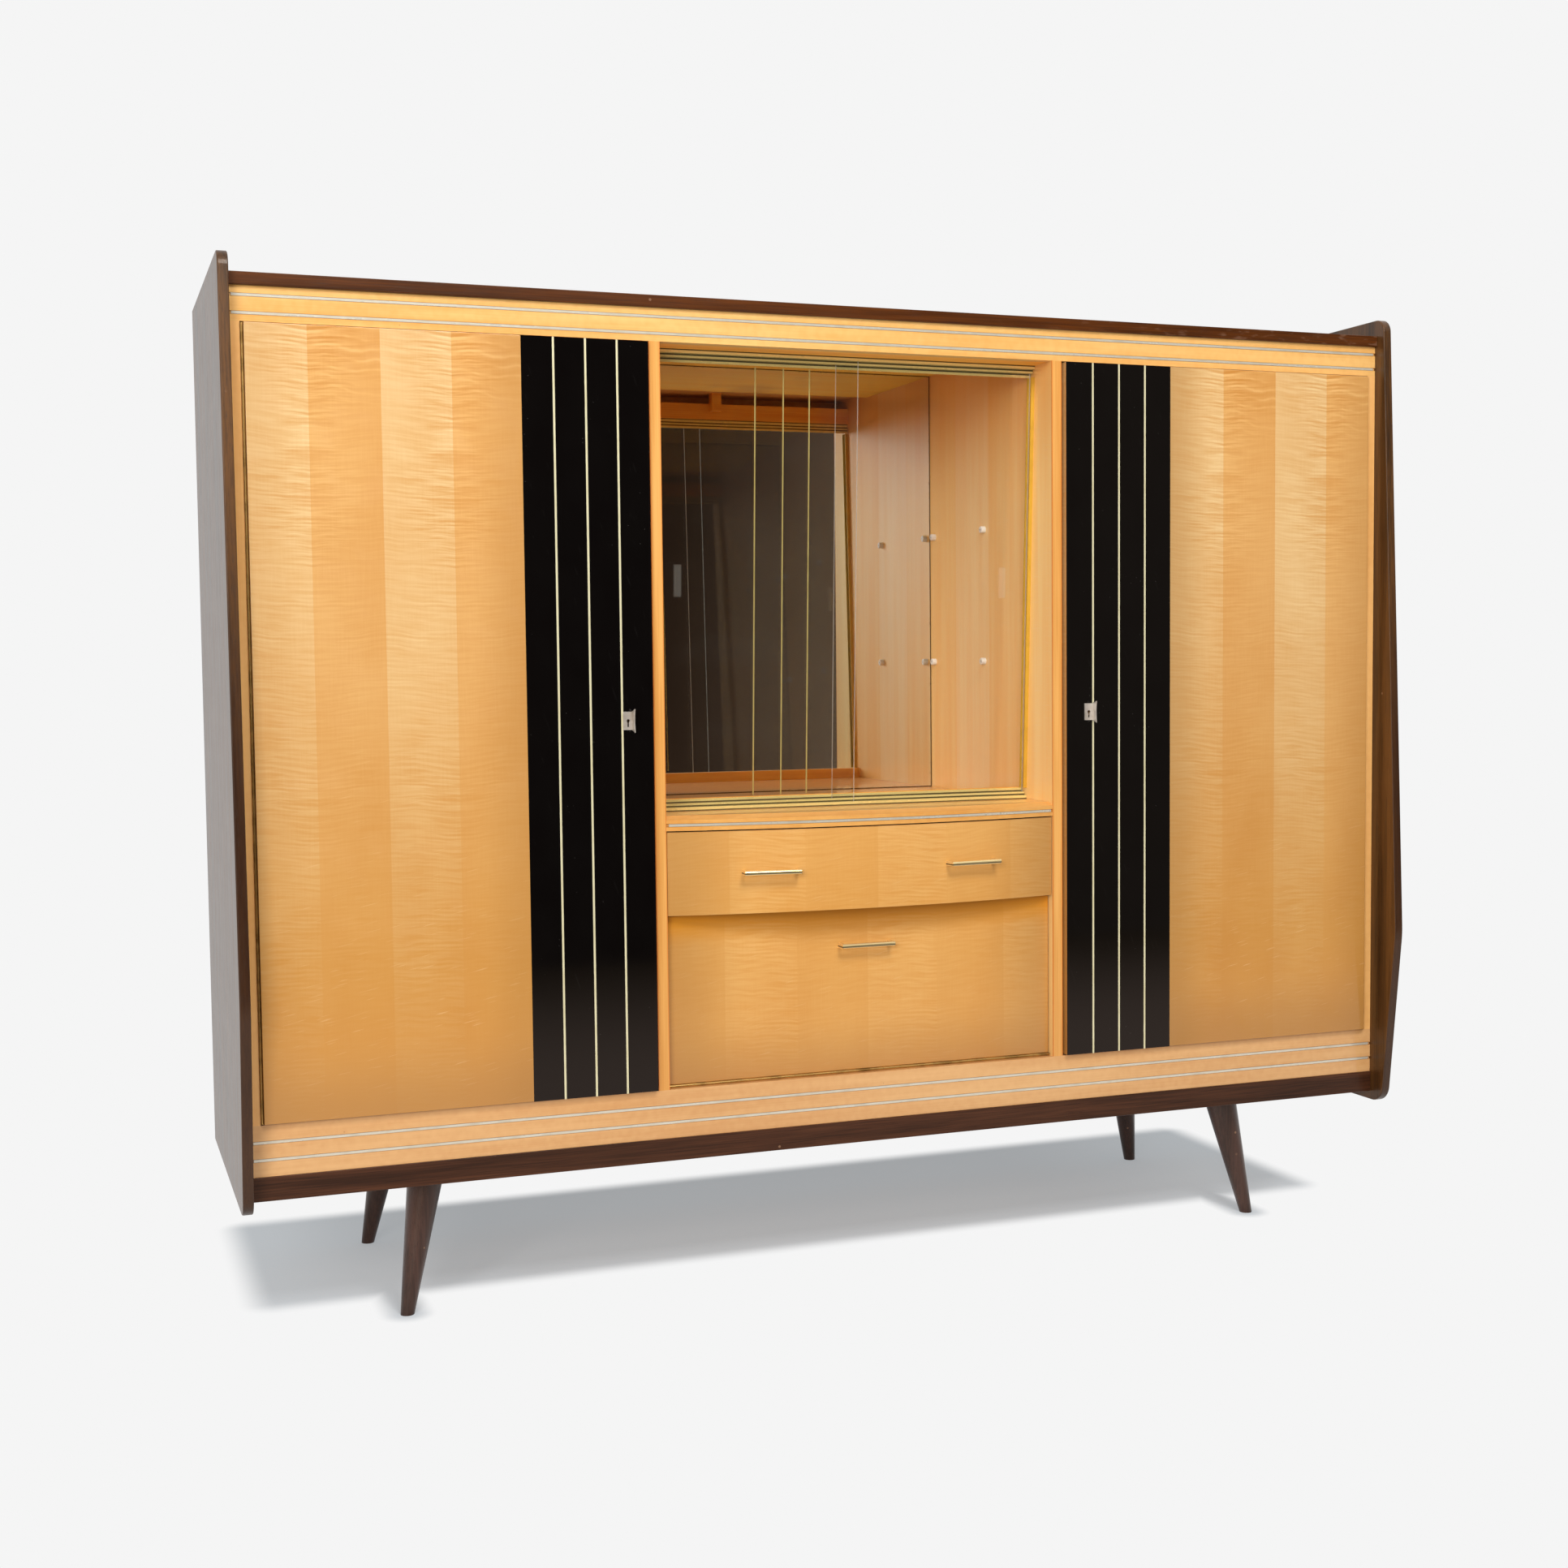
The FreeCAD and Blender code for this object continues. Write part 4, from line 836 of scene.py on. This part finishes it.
def fasten_stays(made):
    """Screws in the feet of the flap's stays and in their guides."""
    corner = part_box("flap_stays")[1]
    spots = [Vector((sign * (corner.x - STAY_SCREW_INSET), STAY_FOOT_FACE, corner.z - drop))
             for sign in (-1, 1) for drop in STAY_SCREW_DROPS]
    fasteners("stay_screws", "flap", made, spots, (0, 1, 0), CASE_SCREW)
    low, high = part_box("stay_guides")
    y = (low.y + high.y) / 2
    heights = (low.z + GUIDE_SCREW_INSET, high.z - GUIDE_SCREW_INSET)
    for side, sign in (("left", -1), ("right", 1)):
        spots = [Vector((sign * GUIDE_FACE, y, z)) for z in heights]
        fasteners("guide_screws_" + side, "cabinet", made, spots, (-sign, 0, 0), GUIDE_SCREW)


def nail_back(made):
    """Nails around each back panel."""
    low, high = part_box("back_panels")
    borders = (low.x, -BACK_SEAM, BACK_SEAM, high.x)
    rows = (low.z + NAIL_INSET, high.z - NAIL_INSET)
    spots = []
    for left, right in zip(borders, borders[1:]):
        columns = (left + NAIL_INSET, right - NAIL_INSET)
        count = round((right - left) / NAIL_SPACING)
        spots += [Vector((x, high.y, z)) for x in between(*columns, count) for z in rows]
        spots += [Vector((x, high.y, z)) for z in between(*rows, NAILS_UP)[1:-1] for x in columns]
    fasteners("back_nails", "cabinet", made, spots, (0, 1, 0), NAIL, slotted=False)


def seen_straight(paint):
    """1 for rays from the camera, and for those that metal and glass send on."""
    names = ("Is Camera Ray", "Is Glossy Ray", "Is Transmission Ray")
    camera, glossy, through = [paint.add("LightPath", output=name) for name in names]
    return camera.math("MAXIMUM", glossy).math("MAXIMUM", through)


def flat_piece(name, corners):
    """A stage sheet through four corners."""
    data = bpy.data.meshes.new(name)
    data.from_pydata(corners, [], [(0, 1, 2, 3)])
    sheet = bpy.data.objects.new(name, data)
    bpy.context.scene.collection.objects.link(sheet)
    return sheet


def out_of_shade(aside, y):
    """0 on the floor that keeps the shade, below the cabinet and round its front feet, and 1 beyond it: a
    painted outline of the shade.
    """
    beside = (aside - (cad_box[1].x - SHADOW_INSET)).math("MAXIMUM", 0.0)
    before = ((y - SHADOW_BACK).math("ABSOLUTE") - (cad_box[1].y - SHADOW_INSET)).math("MAXIMUM", 0.0)
    below = beside.span(before).eased(0.0, SHADOW_EDGE)
    low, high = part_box("leg_front_right")
    foot_aside = aside - (high.x - FOOT_RADIUS)
    foot_before = (low.y + FOOT_RADIUS - y).math("MAXIMUM", y).math("MAXIMUM", 0.0)
    return below.math("MINIMUM", foot_aside.span(foot_before).eased(FOOT_RADIUS, FOOT_SHADOW))


def lay_floor():
    """Pale floor that keeps the shade below the cabinet and runs out into the backdrop.

    Ahead of the cabinet, gloss shows it warm and ever dimmer.
    """
    half = FLOOR_SIDE / 2
    floor = flat_piece("floor", [(-half, -half, 0), (half, -half, 0), (half, half, 0), (-half, half, 0)])
    made, paint = new_finish("floor_paint")
    x, y = paint.place()[:2]
    aside = x.math("ABSOLUTE")
    seen = seen_straight(paint)
    white = paint.noise(x * 40, y * 40, 0.0, detail=3.0).blend(FLOOR_PAINT_DARK, FLOOR_PAINT_LIGHT)
    matt = paint.add("BsdfDiffuse", None, {"Color": white})
    # The glow is painted light: it lightens and cools the shade, more so towards its ends.
    tint = aside.eased(*TINT_CHANGE).blend(FLOOR_TINT_MIDDLE, FLOOR_TINT_ENDS)
    glow = paint.add("Emission", None, {"Color": tint, "Strength": seen * FLOOR_GLOW})
    near = paint.add("AddShader", None, {0: matt, 1: glow})
    ahead = y.eased(*AHEAD_CHANGE).blend(AHEAD_FAR, AHEAD_NEAR)
    mirrored = paint.add("LightPath", output="Is Glossy Ray") * (1 - y.eased(*AHEAD_START))
    far = paint.add("Emission", None, {"Color": mirrored.blend(WHITE, ahead),
                                       "Strength": seen * (BACKDROP - BOUNCE) + BOUNCE})
    mixed = paint.add("MixShader", None, {0: out_of_shade(aside, y), 1: near, 2: far})
    floor.data.materials.append(show_shader(made, paint, mixed))


def hang_room():
    """A dim room behind the camera, which only the mirror, the lacquer and the metal show."""
    half = ROOM_HALF_WIDTH
    corners = ((-half, 0), (half, 0), (half, ROOM_HEIGHT), (-half, ROOM_HEIGHT))
    sheet = flat_piece("dim_room", [(side, -ROOM_DISTANCE, height) for side, height in corners])
    made, paint = new_finish("dim_room_paint")
    x, z = paint.place()[::2]
    clouds = paint.noise(x * 1.6, 0.0, z * 0.8, detail=3.0)
    dim = clouds.blend(tone(22, 15, 10), tone(58, 43, 33))
    lighter = clouds.blend(tone(90, 76, 64), tone(140, 126, 112))
    colour = x.eased(*ROOM_LIGHTER).blend(dim, lighter)
    glow = paint.add("Emission", None, {"Color": colour, "Strength": 1.0})
    sheet.data.materials.append(show_shader(made, paint, glow))
    sheet.visible_camera = False
    sheet.visible_diffuse = False
    sheet.visible_shadow = False


def fill_air():
    """An even world that fills the shadows and stands as the backdrop."""
    world = bpy.data.worlds.new("studio_air")
    world.use_nodes = True
    bpy.context.scene.world = world
    paint = Shade(world.node_tree)
    background = world.node_tree.nodes["Background"]
    background.inputs["Color"].default_value = WHITE
    paint.feed(background.inputs["Strength"], seen_straight(paint) * (BACKDROP - FILL) + FILL)


def hang_lamp(name, place, side, watts):
    """A square soft lamp that looks at the cabinet."""
    lamp = bpy.data.lights.new(name, "AREA")
    lamp.shape = "SQUARE"
    lamp.size = side
    lamp.energy = watts
    piece = bpy.data.objects.new(name, lamp)
    piece.location = place
    piece.rotation_euler = (LIGHT_AIM - place).to_track_quat("-Z", "Y").to_euler()
    bpy.context.scene.collection.objects.link(piece)


def set_camera():
    """The photograph's camera."""
    lens = bpy.data.cameras.new("camera")
    lens.sensor_width = SENSOR
    lens.lens = SENSOR * FOCAL_PIXELS / IMAGE_SIDE
    piece = bpy.data.objects.new("camera", lens)
    up = CAMERA_RIGHT.cross(CAMERA_LOOK)
    turn = Matrix((CAMERA_RIGHT, up, -CAMERA_LOOK)).transposed()
    piece.matrix_world = Matrix.Translation(CAMERA_PLACE) @ turn.to_4x4()
    bpy.context.scene.collection.objects.link(piece)
    bpy.context.scene.camera = piece


def main():
    dress_fronts()
    dress_frame()
    dress_dark_wood()
    dress_inside()
    dress_trim()
    dress_fittings()
    dress_display()
    steel = metal("screw_steel", tone(120, 104, 80), tone(206, 190, 160), 0.24, 0.95, "X")
    fasten_hinges(steel)
    fasten_locks(steel)
    fasten_stays(steel)
    nail_back(steel)
    lay_floor()
    hang_room()
    fill_air()
    hang_lamp("key_lamp", KEY_PLACE, KEY_SIDE, KEY_WATTS)
    hang_lamp("top_lamp", TOP_PLACE, TOP_SIDE, TOP_WATTS)
    set_camera()
    bpy.context.scene.view_settings.view_transform = "Standard"


main()
